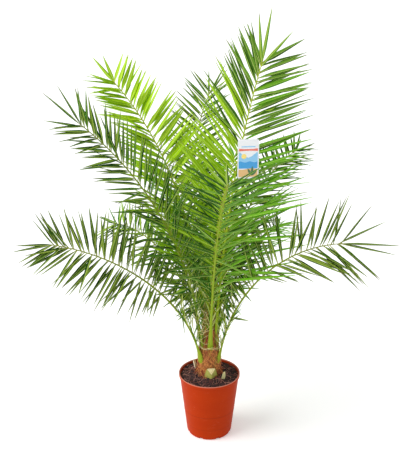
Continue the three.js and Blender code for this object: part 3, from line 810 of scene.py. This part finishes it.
def leaflet_tubes(start, aim, flat, length, width, fold, sag, bow):
    """Leaflets as tubes of six-cornered rings: two edges, and a narrow midrib above and below. A leaflet
    widens over its first quarter and then narrows nearly to a point as (1 − 0.997 s^1.8)^0.9. Its halves
    fold up by an angle that closes towards the tip. It sags by sag s² and curves sideways by bow s² of its
    length."""
    s = LEAFLET_SHARES
    half = spread(width) / 2 * (0.30 + 0.70 * ease(s / 0.24)) * (1 - s**1.8 * 0.997) ** 0.9
    opened = spread(fold) * mix(1.5, 0.75, ease(s / 0.5))
    edge_out, edge_up = half * np.cos(opened), half * np.sin(opened)
    rib = np.minimum(0.0009 * (1 - 0.75 * s), 0.6 * edge_out)
    crease = rib * np.tan(opened)
    keel = np.broadcast_to(-0.0013 * (1 - 0.8 * s), rib.shape)
    outs = np.stack([edge_out, rib, -rib, -edge_out, -0.8 * rib, 0.8 * rib], axis=-1)
    ups = np.stack([edge_up, crease, crease, edge_up, keel, keel], axis=-1)
    travel = aim[:, None] * spread(spread(length) * s)
    hang = spread(spread(sag * length) * s**2) * np.array([0, 0, -1.0])
    curve = spread(spread(bow * length) * s**2) * flat[:, None]
    middle = start[:, None] + travel + hang + curve
    normal = np.cross(aim, flat)
    return middle[:, :, None] + spread(outs) * flat[:, None, None] + spread(ups) * normal[:, None, None]


def leaflet_places(frond, blade, rng):
    """Where one side's leaflets stand, as shares of the blade. They are evenly spaced, then drawn together
    in twos and threes by a sine of their number. Few of them stand before the first full one."""
    pairs = round(frond["length"] * (1 - BLADE_START) / frond["gap"])
    number = np.arange(pairs)
    bunch = 0.38 * np.sin(2 * np.pi * number / 2.6 + rng.uniform(0, 6))
    share = (number + 0.5 + bunch + rng.normal(0, 0.14, pairs)) / pairs
    kept = (share > blade["first"]) | (rng.random(pairs) < 0.12)
    return np.clip(share[kept], 0.004, 0.996)


def leaflet_aims(frond, t, side, lift, angle):
    """Where leaflets start that leave the rib at shares t, and their unit vectors along and across. Outwards
    is across the rib, turned up by the lift, and a leaflet turns from along the rib to outwards by its
    angle. It starts a little inside the rib's edge."""
    along, across, above = directions(frond, t)
    outward = turned(across * spread(side), above, lift)
    start = rib_point(frond, t) + outward * spread(0.3 * rib_size(frond, t)[0])
    level = unit(turned(-outward, along, angle)) * spread(side)
    return start, turned(along, outward, angle), level


def side_leaflets(frond, rng, side):
    """The leaflets of one side of a frond as tubes, and their shares of the blade. A third of the blade past
    the first one they are full sized, as a quarter sine, and they taper with the share to the power fade.
    Their angle to the rib goes from open to close with the share squared, the blade's V lifts them, and
    they turn about their own axes, in several planes. The lower ones are narrower and stray further."""
    blade = frond["right"] if side > 0 else frond["left"]
    share = leaflet_places(frond, blade, rng)
    count = len(share)
    stray = np.where(rng.random(count) < 0.1, 3.0, 1.0) * rng.normal(0, frond["stray"], count)
    loose = mix(1.9, 1, np.clip(share / 0.6, 0, 1))
    angle = np.radians(mix(blade["open"], blade["close"], share**2) + loose * stray)
    lift = np.radians(BLADE_LIFT + loose * rng.normal(0, 9, count))
    start, aim, level = leaflet_aims(frond, mix(BLADE_START, 1, share), side, lift, angle)
    grown = mix(0.4, 1, np.sin(np.pi / 2 * np.clip((share - blade["first"]) / 0.35, 0, 1)))
    tapered = mix(1, frond["taper"], share ** frond["fade"])
    length = frond["leaflet"] * grown * tapered * rng.uniform(0.88, 1.0, count)
    tilt = np.radians(rng.normal(frond["tilt"], 12, count)) * side
    flat = turned(level, -np.cross(aim, level), tilt)
    width = frond["wide"] * mix(0.42, 1, grown) * rng.uniform(0.78, 1.2, count)
    fold = np.radians(rng.uniform(16, 38, count))
    sag = frond["sag"] * rng.uniform(0.4, 1.3, count)
    bow = rng.normal(0, 0.012, count)
    return leaflet_tubes(start, aim, flat, length, width, fold, sag, bow), share


def end_leaflets(frond, rng):
    """The three leaflets past the rib's end, spread a little to both sides of its line."""
    angle = np.radians(np.array([-24.0, 6.0, 18.0]) + frond["fan"] + rng.normal(0, 2.5, 3))
    along, across, _ = directions(frond, np.ones(3))
    start = rib_point(frond, np.array([0.985, 1.0, 0.993]))
    aim = turned(along, across, angle)
    flat = unit(turned(across, -along, angle))
    length = frond["leaflet"] * frond.get("point", frond["taper"]) * np.array([0.86, 1.0, 0.95])
    width, fold, sag = np.full((3, 3), [[0.8 * frond["wide"]], [0.4], [0.02]])
    return leaflet_tubes(start, aim, flat, length, width, fold, sag, 0 * sag)


def clear_of_label(tubes):
    """Which tubes neither cross the hanging card nor pass in front of it."""
    offset = tubes - LABEL_MIDDLE
    beside = np.abs(offset @ LABEL_RIGHT) > LABEL_WIDE / 2 + 0.006
    beyond = np.abs(offset @ LABEL_UP) > LABEL_TALL / 2 + 0.007
    behind = offset @ LABEL_FACE < -0.0005
    return (beside | beyond | behind).all(axis=(1, 2))


def leaflet_finishes(offsets, rng):
    """Finish numbers of leaflets, spread over (leaflet, ring, side) and counted from an offset for each.
    Above, one half of a leaflet mostly takes a painted highlight and the other half mostly a painted shade;
    below, one half is plain and the other in painted shade. A few leaflets swap the halves. The midrib is
    pale on both sides, the foot pale all round, and some tips are dry."""
    count = len(offsets)
    ring = np.array([PAINTED_HIGHLIGHT, MIDRIB, MIDDLE, UNDER, MIDRIB, PAINTED_UNDER_SHADE])
    sides = np.tile(ring, (count, len(LEAFLET_SHARES) - 1, 1))
    sides[..., 0] = rng.choice([PAINTED_HIGHLIGHT, MIDDLE], (count, 1), p=[0.6, 0.4])
    sides[..., 2] = rng.choice([MIDDLE, PAINTED_SHADE], (count, 1), p=[0.45, 0.55])
    swapped = rng.random(count) < 0.2
    sides[swapped] = sides[swapped][..., [2, 1, 0, 5, 4, 3]]
    dry = rng.random(count) < 0.3
    sides[dry, -1] = TIP
    sides[:, 0] = FOOT
    return sides + spread(offsets, 2)


def spine_tubes(frond, rng):
    """Spines on the upper face of the stalk below the leaflets: slim, stiff, and longer further up by a
    smooth step. They stand right and left in turn."""
    t = np.sort(rng.uniform(0.075, BLADE_START + 0.05, SPINES))
    side = np.where(np.arange(SPINES) % 2 == 0, 1.0, -1.0)
    angle = np.radians(rng.uniform(12, 52, SPINES))
    lift = np.radians(rng.uniform(35, 80, SPINES))
    start, aim, level = leaflet_aims(frond, t, side, lift, angle)
    length = mix(0.035, 0.155, ease((t - 0.07) / 0.2)) * rng.uniform(0.7, 1.2, SPINES)
    width = rng.uniform(0.0030, 0.0055, SPINES)
    fold = np.radians(rng.uniform(35, 55, SPINES))
    sag, bow = np.full(SPINES, 0.01), rng.normal(0, 0.02, SPINES)
    return leaflet_tubes(start, aim, level, length, width, fold, sag, bow)


def spear_points():
    """The closed spear leaf: a slim tube whose section has ribs where the leaflets lie folded together. It
    narrows as a cosine and bends a little."""
    share = spread(np.linspace(0, 1, 44))
    angle = circle(28)
    radius = SPEAR_RADIUS * np.cos(share * np.pi / 2 * 0.985) ** 0.8
    ribs = 1 - 0.16 * (0.5 + 0.5 * np.cos(7 * angle + 5 * share))
    bend = spread(0.010 * np.sin(share * 2.2) * share) * np.array([1, -0.6, 0])
    return (polar(radius * ribs, angle, mix(SPEAR_FOOT, SPEAR_TIP, share)) + bend)[None]


# ---------------------------------------------------------------- hanging label

LABEL_MIDDLE = np.mean(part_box("plant_label"), axis=0)
LABEL_WIDE, LABEL_TALL, LABEL_THICK, LABEL_CORNER = 0.076, 0.142, 0.0012, 0.009
LABEL_YAW, LABEL_LEAN = math.radians(8), math.radians(1)
LABEL_RIGHT = np.array([math.cos(LABEL_YAW), math.sin(LABEL_YAW), 0])
LABEL_UP = np.array([
    math.sin(LABEL_LEAN) * math.sin(LABEL_YAW),
    -math.sin(LABEL_LEAN) * math.cos(LABEL_YAW),
    math.cos(LABEL_LEAN),
])
LABEL_FACE = np.cross(LABEL_RIGHT, LABEL_UP)


def rounded_outline(wide, tall, corner, middle=(0, 0)):
    """An anticlockwise outline of a rectangle whose corners are quarter circles of seven points."""
    angle = np.linspace(0, np.pi / 2, 7)
    turns = np.concatenate([angle + quarter * np.pi / 2 for quarter in range(4)])
    signs = np.repeat([(1, 1), (-1, 1), (-1, -1), (1, -1)], 7, axis=0)
    centres = signs * np.array([wide / 2 - corner, tall / 2 - corner])
    return centres + corner * np.stack([np.cos(turns), np.sin(turns)], -1) + np.array(middle)


def leaf_outline(length, wide, turn, foot):
    """An anticlockwise outline of a pointed leaf that leaves its foot at an angle. Its half width is half a
    sine, to the power 0.8."""
    share = np.concatenate([np.linspace(0, 1, 14), np.linspace(1, 0, 14)[1:-1]])
    side = np.concatenate([-np.ones(14), np.ones(12)])
    x, y = share * length, side * wide / 2 * np.sin(np.pi * share) ** 0.8
    cos, sin = math.cos(turn), math.sin(turn)
    return np.stack([x * cos - y * sin, x * sin + y * cos], -1) + np.array(foot)


def dune_outline(wide, low, high, waves):
    """An anticlockwise outline with a level foot and an upper edge that rises and falls as a sine."""
    x = np.linspace(-wide / 2, wide / 2, 24)
    crest = high + 0.0022 * np.sin(waves * x / wide * 2 * np.pi + 0.6)
    foot = np.stack([x, np.full(len(x), low)], -1)
    return np.concatenate([foot, np.stack([x, crest], -1)[::-1]])


def card_points(outline, back, front):
    """A thin plate on the bent card, from rings that grow to the outline behind and shrink in front. The
    card's edges bend back by a parabola of the distance from its upright middle line."""
    bend, forwards = 1.6, 0.0012
    middle = outline.mean(axis=0)
    sizes = np.array([0.02, 0.34, 0.67, 1, 1, 0.67, 0.34, 0.02])
    depths = np.repeat([back, front], 4)
    flat = middle + spread(sizes, 2) * (outline - middle)
    depth = depths[:, None] - bend * flat[..., 0] ** 2 + forwards
    on_card = flat[..., :1] * LABEL_RIGHT + flat[..., 1:] * LABEL_UP
    return (LABEL_MIDDLE + on_card + depth[..., None] * LABEL_FACE)[None]


def strap_points():
    """A flat loop that leaves the back of the card, runs round the rib and comes back to the card: a circle
    seen from above, cut open at the card and stretched towards it."""
    frond = FRONDS["right_high"]
    rise, beside, behind, nearest = 0.056, 0.0105, 0.0085, 0.004
    half_wide, half_thick = 0.0045, 0.00035
    shares = np.linspace(0.3, 1, 200)
    t = np.interp(LABEL_MIDDLE[2] + rise, rib_point(frond, shares)[:, 2], shares)
    centre = rib_point(frond, t)
    gap = (LABEL_MIDDLE + rise * LABEL_UP - centre) @ LABEL_FACE
    turn = np.linspace(-0.42 * np.pi, 1.42 * np.pi, 30)
    forwards = -np.sin(turn) * np.where(np.sin(turn) < 0, max(gap, nearest), behind)
    line = centre + spread(beside * np.cos(turn)) * LABEL_RIGHT + spread(forwards) * LABEL_FACE
    wide = directions(frond, t)[0] * half_wide
    thick = unit(np.cross(unit(np.gradient(line, axis=0)), wide)) * half_thick
    corners = [wide + thick, -wide + thick, -wide - thick, wide - thick]
    return np.stack([line + corner for corner in corners], axis=1)[None, :, ::-1]


# ---------------------------------------------------------------- settings


def colour_setting(name, description, code):
    settings = dict(name=name, description=description, default=paint(code))
    return FloatVectorProperty(**settings, subtype="COLOR", size=3, min=0, max=1)


def length_setting(name, description, default):
    return FloatProperty(name=name, description=description, default=default, unit="LENGTH", min=0)


def count_setting(name, description, default):
    return IntProperty(name=name, description=description, default=default, min=1)


class PotSettings(bpy.types.PropertyGroup):
    """Sizes and colours of the pot and the soil"""

    colour: colour_setting("Pot", "Colour of the pot's plastic", 0xAC3206)
    soil: colour_setting("Soil", "Main shade of the soil", 0x231417)
    soil_light: colour_setting("Soil, light", "Lighter shade of the soil", 0x4C2E2A)
    root: colour_setting("Root", "Colour of the fine roots", 0xB88070)
    ring_height: length_setting("Ring Height", "How far the wall's rings stand out", 0.0006)
    slot_width: length_setting("Slot Width", "Width of a drain slot", 0.015)
    slot_height: length_setting("Slot Height", "Height of a drain slot", 0.008)
    sides: count_setting("Sides", "Faces round the pot", 360)
    crumbs: count_setting("Crumbs", "Loose crumbs on the soil", 560)
    roots: count_setting("Roots", "Fine roots on the soil", 130)


class TrunkSettings(bpy.types.PropertyGroup):
    """Sizes and colours of the trunk, its fibres and the stubs"""

    colour: colour_setting("Fibre", "Light shade of the fibre", 0xE09850)
    dark: colour_setting("Fibre, dark", "Dark shade of the fibre", 0x8A5024)
    red: colour_setting("Fibre, red", "Reddish shade of the strands", 0xA24A2C)
    olive: colour_setting("Fibre, olive", "Olive shade of the strands", 0xA6A43C)
    thread: colour_setting("Thread", "Pale loose threads", 0xD9C890)
    stub: colour_setting("Stub", "Skin of the stubs", 0xB0B63A)
    cut: colour_setting("Cut", "Cut face of the stubs", 0xEADFA6)
    tile_height: length_setting("Base Height", "Height of an old leaf base", 0.030)
    tile_relief: length_setting("Base Relief", "How far an old leaf base bulges", 0.0050)
    tiles: count_setting("Bases", "Old leaf bases in a row", 7)
    rings: count_setting("Rings", "Rings of the trunk's mesh", 150)
    sides: count_setting("Sides", "Faces round the trunk", 260)
    wraps: count_setting("Wraps", "Strands wrapped round the trunk", 460)
    spreading: count_setting("Spreading Strands", "Strands round the trunk's foot", 300)
    standing: count_setting("Standing Strands", "Strands between the stalks", 380)
    curls: count_setting("Curls", "Loose curling threads", 20)


class FrondSettings(bpy.types.PropertyGroup):
    """Sizes and colours of the ribs, leaflets and spines"""

    lime: colour_setting("Lime", "Youngest, brightest leaflets", 0xA6D410)
    fresh: colour_setting("Fresh", "Bright leaflets", 0x6CB80E)
    green: colour_setting("Green", "Full-grown leaflets", 0x5A8E1C)
    olive: colour_setting("Olive", "Leaflets of the lowest fronds", 0x426614)
    deep: colour_setting("Deep", "Oldest, darkest leaflets", 0x3E7A1C)
    dry: colour_setting("Dry", "Dry leaflet tips", 0x8A7A50)
    foot: colour_setting("Stalk Foot", "The stalks' feet", 0xA8A81E)
    stalk: colour_setting("Stalk", "The stalks", 0x94A818)
    rib_sides: count_setting("Rib Sides", "Faces round a rib", 20)


class LabelSettings(bpy.types.PropertyGroup):
    """Colours of the hanging label"""

    card: colour_setting("Card", "The card", 0xF2F5F8)
    band: colour_setting("Band", "The coloured band", 0xF0735C)
    sky: colour_setting("Sky", "Upper part of the picture", 0x8CCBF2)
    sea: colour_setting("Sea", "Lower part of the picture", 0x2F9FE0)
    sand: colour_setting("Sand", "The sand", 0xE3B878)
    sun: colour_setting("Sun", "The sun", 0xFFE27A)
    leaf: colour_setting("Leaf", "The leaves", 0x3D6B3A)


class StageSettings(bpy.types.PropertyGroup):
    """Floor, light and camera"""

    floor: colour_setting("Floor", "The floor", 0xFBFBFB)
    floor_size: length_setting("Floor Size", "Side of the floor", 400.0)
    glow: FloatProperty(name="Glow", description="Strength of the floor's own light", default=0.25)
    world: FloatProperty(name="World", description="Strength of the light from all round", default=0.60)
    key: FloatProperty(name="Key", description="Strength of the light from the upper left", default=2.4)
    lens: FloatProperty(name="Lens", description="Focal length in millimetres", default=59.3)


# ---------------------------------------------------------------- operators

# How the camera and the light stand, in metres and degrees
CAMERA_PLACE = (-0.027, -2.6, 1.72)
CAMERA_DOWN = 18.2
LIGHT_TURN = (0, -49, 14)
LIGHT_SPREAD = 50


class PieceOperator:
    """What the operators share: settings of the scene, and an error when nothing is made"""

    bl_options = {"REGISTER", "UNDO"}

    def execute(self, context):
        pieces = self.build(context.scene)
        if not pieces or not all(len(piece.data.polygons) for piece in pieces):
            raise RuntimeError(f"{self.bl_label} made no faces")
        return {"FINISHED"}


class MakePot(PieceOperator, bpy.types.Operator):
    """Build the nursery pot"""

    bl_idname = "palm.make_pot"
    bl_label = "Make Pot"

    def build(self, scene):
        settings = scene.palm_pot
        plastic = pot_plastic(settings.colour)
        return [make_piece("nursery_pot", Shape(pot_points(settings)), [plastic], ["pot"], "pot", 50)]


class MakeSoil(PieceOperator, bpy.types.Operator):
    """Build the soil, its crumbs and the fine roots on it"""

    bl_idname = "palm.make_soil"
    bl_label = "Make Soil"

    def build(self, scene):
        settings = scene.palm_pot
        soil, light = settings.soil, settings.soil_light
        rng = np.random.default_rng(SEEDS["soil"])
        body = Shape(soil_points(200))
        pieces = [make_piece("soil_body", body, [earth("soil_earth", soil, light)], ["soil"], "soil", 60)]
        tones = rng.choice([0, 1, 2], settings.crumbs, p=[0.6, 0.25, 0.15])
        crumbs = Shape(crumb_points(settings.crumbs, rng), spread(tones, 2))
        shades = [
            earth("crumb_dark", soil, tint(soil, light, 0.4)),
            earth("crumb_brown", light, tint(light, soil, 0.5)),
            earth("crumb_bark", paint(0x6E4A36), paint(0x3A241C)),
        ]
        pieces.append(make_piece("soil_crumbs", crumbs, shades, [], "soil", 30))
        tones = rng.choice([0, 1], settings.roots, p=[0.6, 0.4])
        roots = Shape(root_hair_points(settings.roots, rng), spread(tones, 2))
        shades = [strand("root_pale", settings.root), strand("root_red", paint(0x8E4E40))]
        return [*pieces, make_piece("fine_roots", roots, shades, [], "soil", 60)]


class MakeTrunk(PieceOperator, bpy.types.Operator):
    """Build the trunk with its fibres and loose threads"""

    bl_idname = "palm.make_trunk"
    bl_label = "Make Trunk"

    def build(self, scene):
        settings = scene.palm_trunk
        dark = settings.dark
        rng = np.random.default_rng(SEEDS["trunk"])
        body = Shape(trunk_points(settings))
        upper = tint(dark, paint(0x3A2C14), 0.6)
        skin = fibre("trunk_fibre", settings.colour, dark, (7, 7, 2.5), upper)
        pieces = [make_piece("trunk_body", body, [skin], ["trunk"], "trunk_fibre", 50)]
        tones = {"tan": settings.colour, "red": settings.red, "dark": dark, "olive": settings.olive}
        shades = [strand("strand_" + tone, colour) for tone, colour in tones.items()]
        # Each group's lines, their radius and how many of them take each shade
        groups = {
            "trunk_wraps": (trunk_fibre_lines(settings.wraps, rng), 0.0006, (0.5, 0.25, 0.2, 0.05)),
            "foot_strands": (foot_fibre_lines(settings.spreading, rng), 0.0008, (0.3, 0.5, 0.2, 0.0)),
            "neck_strands": (neck_fibre_lines(settings.standing, rng), 0.0011, (0.25, 0.15, 0.1, 0.5)),
        }
        for name, (lines, radius, shares) in groups.items():
            count = len(lines)
            foot = lines[:, 0, 2]
            shade = rng.choice(len(shades), count, p=shares)
            reddened = rng.random(count) < 0.35
            shade[(foot > SHOULDER) & (foot < SHOULDER_TOP) & reddened] = list(tones).index("red")
            thick = radius * spread(rng.uniform(0.7, 1.5, count)) * np.linspace(1, 0.5, lines.shape[1])
            shape = Shape(strand_tubes(lines, thick), spread(shade, 2))
            pieces.append(make_piece(name, shape, shades, [], "trunk_fibre", 60))
        curls = Shape(strand_tubes(curl_lines(settings.curls, rng), 0.0007, 5))
        pale = strand("thread_pale", settings.thread)
        return [*pieces, make_piece("loose_threads", curls, [pale], [], "trunk_fibre", 60)]


class MakeStubs(PieceOperator, bpy.types.Operator):
    """Build the cut stubs round the trunk's foot"""

    bl_idname = "palm.make_stubs"
    bl_label = "Make Stubs"

    def build(self, scene):
        settings = scene.palm_trunk
        rim = strand("stub_rim", paint(0x8A7438))
        cut = fibre("stub_cut", settings.cut, tint(settings.cut, paint(0xB79A5A), 0.5), (3, 3, 3))
        finishes = np.repeat([0, 1, 2], [6, 1, 3])
        pieces = []
        for name, stub in STUBS.items():
            light = tint(settings.stub, (0.97, 0.92, 0.62), stub["dry"])
            skin = fibre(name + "_skin", light, tint(light, paint(0x5A4A22), 0.5 - 0.42 * stub["dry"]))
            shape = Shape(stub_points(stub), spread(finishes), [[0, 2]])
            pieces.append(make_piece(name + "_cut", shape, [skin, rim, cut], [name], "cut_stub", 35))
        return pieces


class MakeRibs(PieceOperator, bpy.types.Operator):
    """Build the fronds' ribs, with the stalks and their feet"""

    bl_idname = "palm.make_ribs"
    bl_label = "Make Ribs"

    def build(self, scene):
        settings = scene.palm_fronds
        foot, stalk = settings.foot, settings.stalk
        skins = {}
        pieces = []
        for name, frond in FRONDS.items():
            tone = frond["right"]["tone"]
            if tone not in skins:
                green = getattr(settings, tone)
                middle, tip = tint(stalk, green, 0.25), tint(green, stalk, 0.6)
                skins[tone] = stalk_skin("rib_" + tone, foot, middle, tip)
            shape, nodes = Shape(rib_points(frond, settings)), [name + "_stalk"]
            pieces.append(make_piece(name + "_rib", shape, [skins[tone]], nodes, "leaf_stalk", 70))
        return pieces


class MakeLeaflets(PieceOperator, bpy.types.Operator):
    """Build the fronds' leaflets, each in a few plain tones of its green"""

    bl_idname = "palm.make_leaflets"
    bl_label = "Make Leaflets"

    def build(self, scene):
        settings = scene.palm_fronds
        self.tones = {}
        return [self.make_frond(settings, seed, name) for seed, name in enumerate(FRONDS)]

    def tone_materials(self, settings, tone):
        """A tone's finishes: a painted highlight, the plain tone and a painted shade above, one below, the
        midrib, the dry tip, the foot and a painted shade below. The two bright tones have a softer, greener
        painted shade than the others."""
        if tone not in self.tones:
            green = getattr(settings, tone)
            # How deep the painted shade is, and the dark green that it goes towards
            depth = {"lime": 0.45, "fresh": 0.6}.get(tone, 0.82)
            dark = (0.02, 0.14, 0.003) if tone in ("lime", "fresh") else (0.01, 0.05, 0.005)
            # The first is a painted highlight, and the third and the last are painted shade, each on one half
            # of a leaflet
            shades = {
                "light": tint(green, (0.62, 0.82, 0.08), 0.24 if tone == "olive" else 0.38),
                "middle": green,
                "shade": tint(green, dark, depth),
                "under": tint(green, (0.30, 0.45, 0.10), 0.2),
                "midrib": tint(green, (0.84, 0.92, 0.28), 0.60),
                "tip": tint(green, settings.dry, 0.6),
                "foot": tint(green, paint(0xB9B04A), 0.7),
                "painted_under_shade": tint(green, dark, 0.8 * depth),
            }
            self.tones[tone] = [leaf(f"{tone}_{part}", colour) for part, colour in shades.items()]
        return self.tones[tone]

    def make_frond(self, settings, seed, name):
        """A frond's leaflets, in the tones of its two sides. Those across the label are left out."""
        frond = FRONDS[name]
        rng = np.random.default_rng(SEEDS["leaflets"] + seed)
        blades = (frond["right"], frond["left"])
        greens = list(dict.fromkeys(blade[part] for blade in blades for part in ("tone", "tip")))
        materials = sum((self.tone_materials(settings, tone) for tone in greens), [])
        shape = Shape()
        for side, blade in zip((1, -1), blades):
            tubes, share = side_leaflets(frond, rng, side)
            shown = clear_of_label(tubes) | (name != "right_high")
            tubes, share = tubes[shown], share[shown]
            near_tip = share + rng.normal(0, 0.15, len(share)) > frond["change"]
            tones = np.where(near_tip, greens.index(blade["tip"]), greens.index(blade["tone"]))
            shape.add_tubes(tubes, leaflet_finishes(TONE_FINISHES * tones, rng))
        tubes = end_leaflets(frond, rng)
        tones = np.full(len(tubes), greens.index(frond["right"]["tip"]))
        shape.add_tubes(tubes, leaflet_finishes(TONE_FINISHES * tones, rng))
        nodes = [name + "_blade", name + "_tip"]
        return make_piece(name + "_leaflets", shape, materials, nodes, "leaf_" + slot_tone(frond), 40)


def slot_tone(frond):
    """The record's slot for a frond's green: it has none for the fresh and the olive tone."""
    return {"fresh": "lime", "olive": "green"}.get(frond["right"]["tone"], frond["right"]["tone"])


class MakeSpines(PieceOperator, bpy.types.Operator):
    """Build the spines on the stalks"""

    bl_idname = "palm.make_spines"
    bl_label = "Make Spines"

    def build(self, scene):
        settings = scene.palm_fronds
        green = tint(settings.green, settings.stalk, 0.7)
        tones = {"light": tint(green, (0.85, 0.85, 0.35), 0.6), "green": green, "dark": settings.deep}
        materials = [leaf("spine_" + tone, colour) for tone, colour in tones.items()]
        pieces = []
        for seed, (name, frond) in enumerate(FRONDS.items()):
            rng = np.random.default_rng(SEEDS["spines"] + seed)
            tubes = spine_tubes(frond, rng)
            shape = Shape(tubes, spread(rng.choice(len(materials), len(tubes)), 2))
            pieces.append(make_piece(name + "_spines", shape, materials, [], "leaf_green", 40))
        return pieces


class MakeSpear(PieceOperator, bpy.types.Operator):
    """Build the closed spear leaf"""

    bl_idname = "palm.make_spear"
    bl_label = "Make Spear"

    def build(self, scene):
        settings = scene.palm_fronds
        pale = tint(settings.lime, (0.6, 0.7, 0.2), 0.3)
        skin = stalk_skin("spear_skin", settings.foot, pale, settings.lime)
        return [make_piece("closed_spear", Shape(spear_points()), [skin], ["spear_leaf"], "leaf_lime", 50)]


class MakeLabel(PieceOperator, bpy.types.Operator):
    """Build the hanging label, its plain picture and its strap"""

    bl_idname = "palm.make_label"
    bl_label = "Make Label"

    def build(self, scene):
        settings = scene.palm_label
        half = LABEL_THICK / 2
        card = Shape(card_points(rounded_outline(LABEL_WIDE, LABEL_TALL, LABEL_CORNER), -half, half))
        white = card_print("card_white", settings.card)
        pieces = [make_piece("label_card", card, [white], ["plant_label"], "label_card", 40)]
        wide = LABEL_WIDE - 0.008
        # Each motif's outline and its ink, from the back layer to the front one
        motifs = [
            (rounded_outline(wide, 0.052, 0.003, (0, -0.002)), "sky"),
            (dune_outline(wide, -0.034, -0.010, 2), "sea"),
            (rounded_outline(0.018, 0.018, 0.0089, (-0.016, 0.010)), "sun"),
            (rounded_outline(wide, 0.009, 0.002, (0, 0.033)), "band"),
            (rounded_outline(0.050, 0.0035, 0.0015, (0, 0.0445)), "sky"),
            (dune_outline(wide, -0.064, -0.036, 1), "sand"),
        ]
        for length, turn, foot in ((0.030, 118, 0.012), (0.034, 86, 0.013), (0.028, 52, 0.014)):
            motifs.append((leaf_outline(length, 0.009, math.radians(turn), (foot, -0.060)), "leaf"))
        inks = list(dict.fromkeys(ink for _, ink in motifs))
        picture = Shape()
        sunk, layer_thick = 0.0002, 0.00012
        for layer, (outline, ink) in enumerate(motifs):
            front = half + layer_thick * (layer + 1)
            picture.add_tubes(card_points(outline, half - sunk, front), inks.index(ink))
        shades = [card_print("card_" + ink, getattr(settings, ink)) for ink in inks]
        pieces.append(make_piece("label_picture", picture, shades, [], "label_card", 40))
        return [*pieces, make_piece("label_strap", Shape(strap_points()), [white], [], "label_card", 30)]


class MakeStage(PieceOperator, bpy.types.Operator):
    """Set the pale floor, the soft light and the camera"""

    bl_idname = "palm.make_stage"
    bl_label = "Make Stage"

    def build(self, scene):
        settings = scene.palm_stage
        reach = settings.floor_size / 2
        mesh = bpy.data.meshes.new("floor")
        corners = [(-reach, -reach, 0), (reach, -reach, 0), (reach, reach, 0), (-reach, reach, 0)]
        mesh.from_pydata(corners, [], [(0, 1, 2, 3)])
        recipe = Recipe("floor_paint")
        mottle = recipe.noise(recipe.place(), 3.0)
        glow = {"Emission Color": (1, 1, 1, 1), "Emission Strength": settings.glow}
        roughness = 0.85 + 0.1 * mottle
        mesh.materials.append(recipe.finish(settings.floor, roughness, **glow))
        floor = bpy.data.objects.new("floor", mesh)
        scene.collection.objects.link(floor)
        world = bpy.data.worlds.new("soft_white")
        world.use_nodes = True
        sky = world.node_tree.nodes["Background"]
        sky.inputs["Color"].default_value = (1, 1, 1, 1)
        sky.inputs["Strength"].default_value = settings.world
        scene.world = world
        lamp = bpy.data.lights.new("key_light", "SUN")
        lamp.energy = settings.key
        lamp.angle = math.radians(LIGHT_SPREAD)
        key = bpy.data.objects.new("key_light", lamp)
        key.rotation_euler = [math.radians(turn) for turn in LIGHT_TURN]
        scene.collection.objects.link(key)
        lens = bpy.data.cameras.new("camera")
        lens.lens = settings.lens
        lens.clip_end = 1000
        camera = bpy.data.objects.new("camera", lens)
        camera.location = CAMERA_PLACE
        camera.rotation_euler = (math.radians(90 - CAMERA_DOWN), 0, 0)
        scene.collection.objects.link(camera)
        scene.camera = camera
        scene.view_settings.view_transform = "Standard"
        return [floor]


OPERATORS = (
    MakePot, MakeSoil, MakeTrunk, MakeStubs, MakeRibs, MakeLeaflets, MakeSpines, MakeSpear, MakeLabel,
    MakeStage,
)
SETTINGS = {
    "palm_pot": PotSettings,
    "palm_trunk": TrunkSettings,
    "palm_fronds": FrondSettings,
    "palm_label": LabelSettings,
    "palm_stage": StageSettings,
}


class PalmPanel(bpy.types.Panel):
    """The palm's pieces and their settings"""

    bl_idname = "PALM_PT_pieces"
    bl_label = "Date Palm"
    bl_space_type = "VIEW_3D"
    bl_region_type = "UI"
    bl_category = "Palm"

    def draw(self, context):
        for operator in OPERATORS:
            self.layout.operator(operator.bl_idname)
        for name, group in SETTINGS.items():
            box = self.layout.box()
            for field in group.__annotations__:
                box.prop(getattr(context.scene, name), field)


def register():
    for name, group in SETTINGS.items():
        bpy.utils.register_class(group)
        setattr(bpy.types.Scene, name, PointerProperty(type=group))
    for kind in (*OPERATORS, PalmPanel):
        bpy.utils.register_class(kind)


def unregister():
    for kind in reversed((*OPERATORS, PalmPanel)):
        bpy.utils.unregister_class(kind)
    for name, group in reversed(SETTINGS.items()):
        delattr(bpy.types.Scene, name)
        bpy.utils.unregister_class(group)


def main():
    register()
    for operator in OPERATORS:
        group, name = operator.bl_idname.split(".")
        getattr(getattr(bpy.ops, group), name)()


if __name__ == "__main__":
    main()
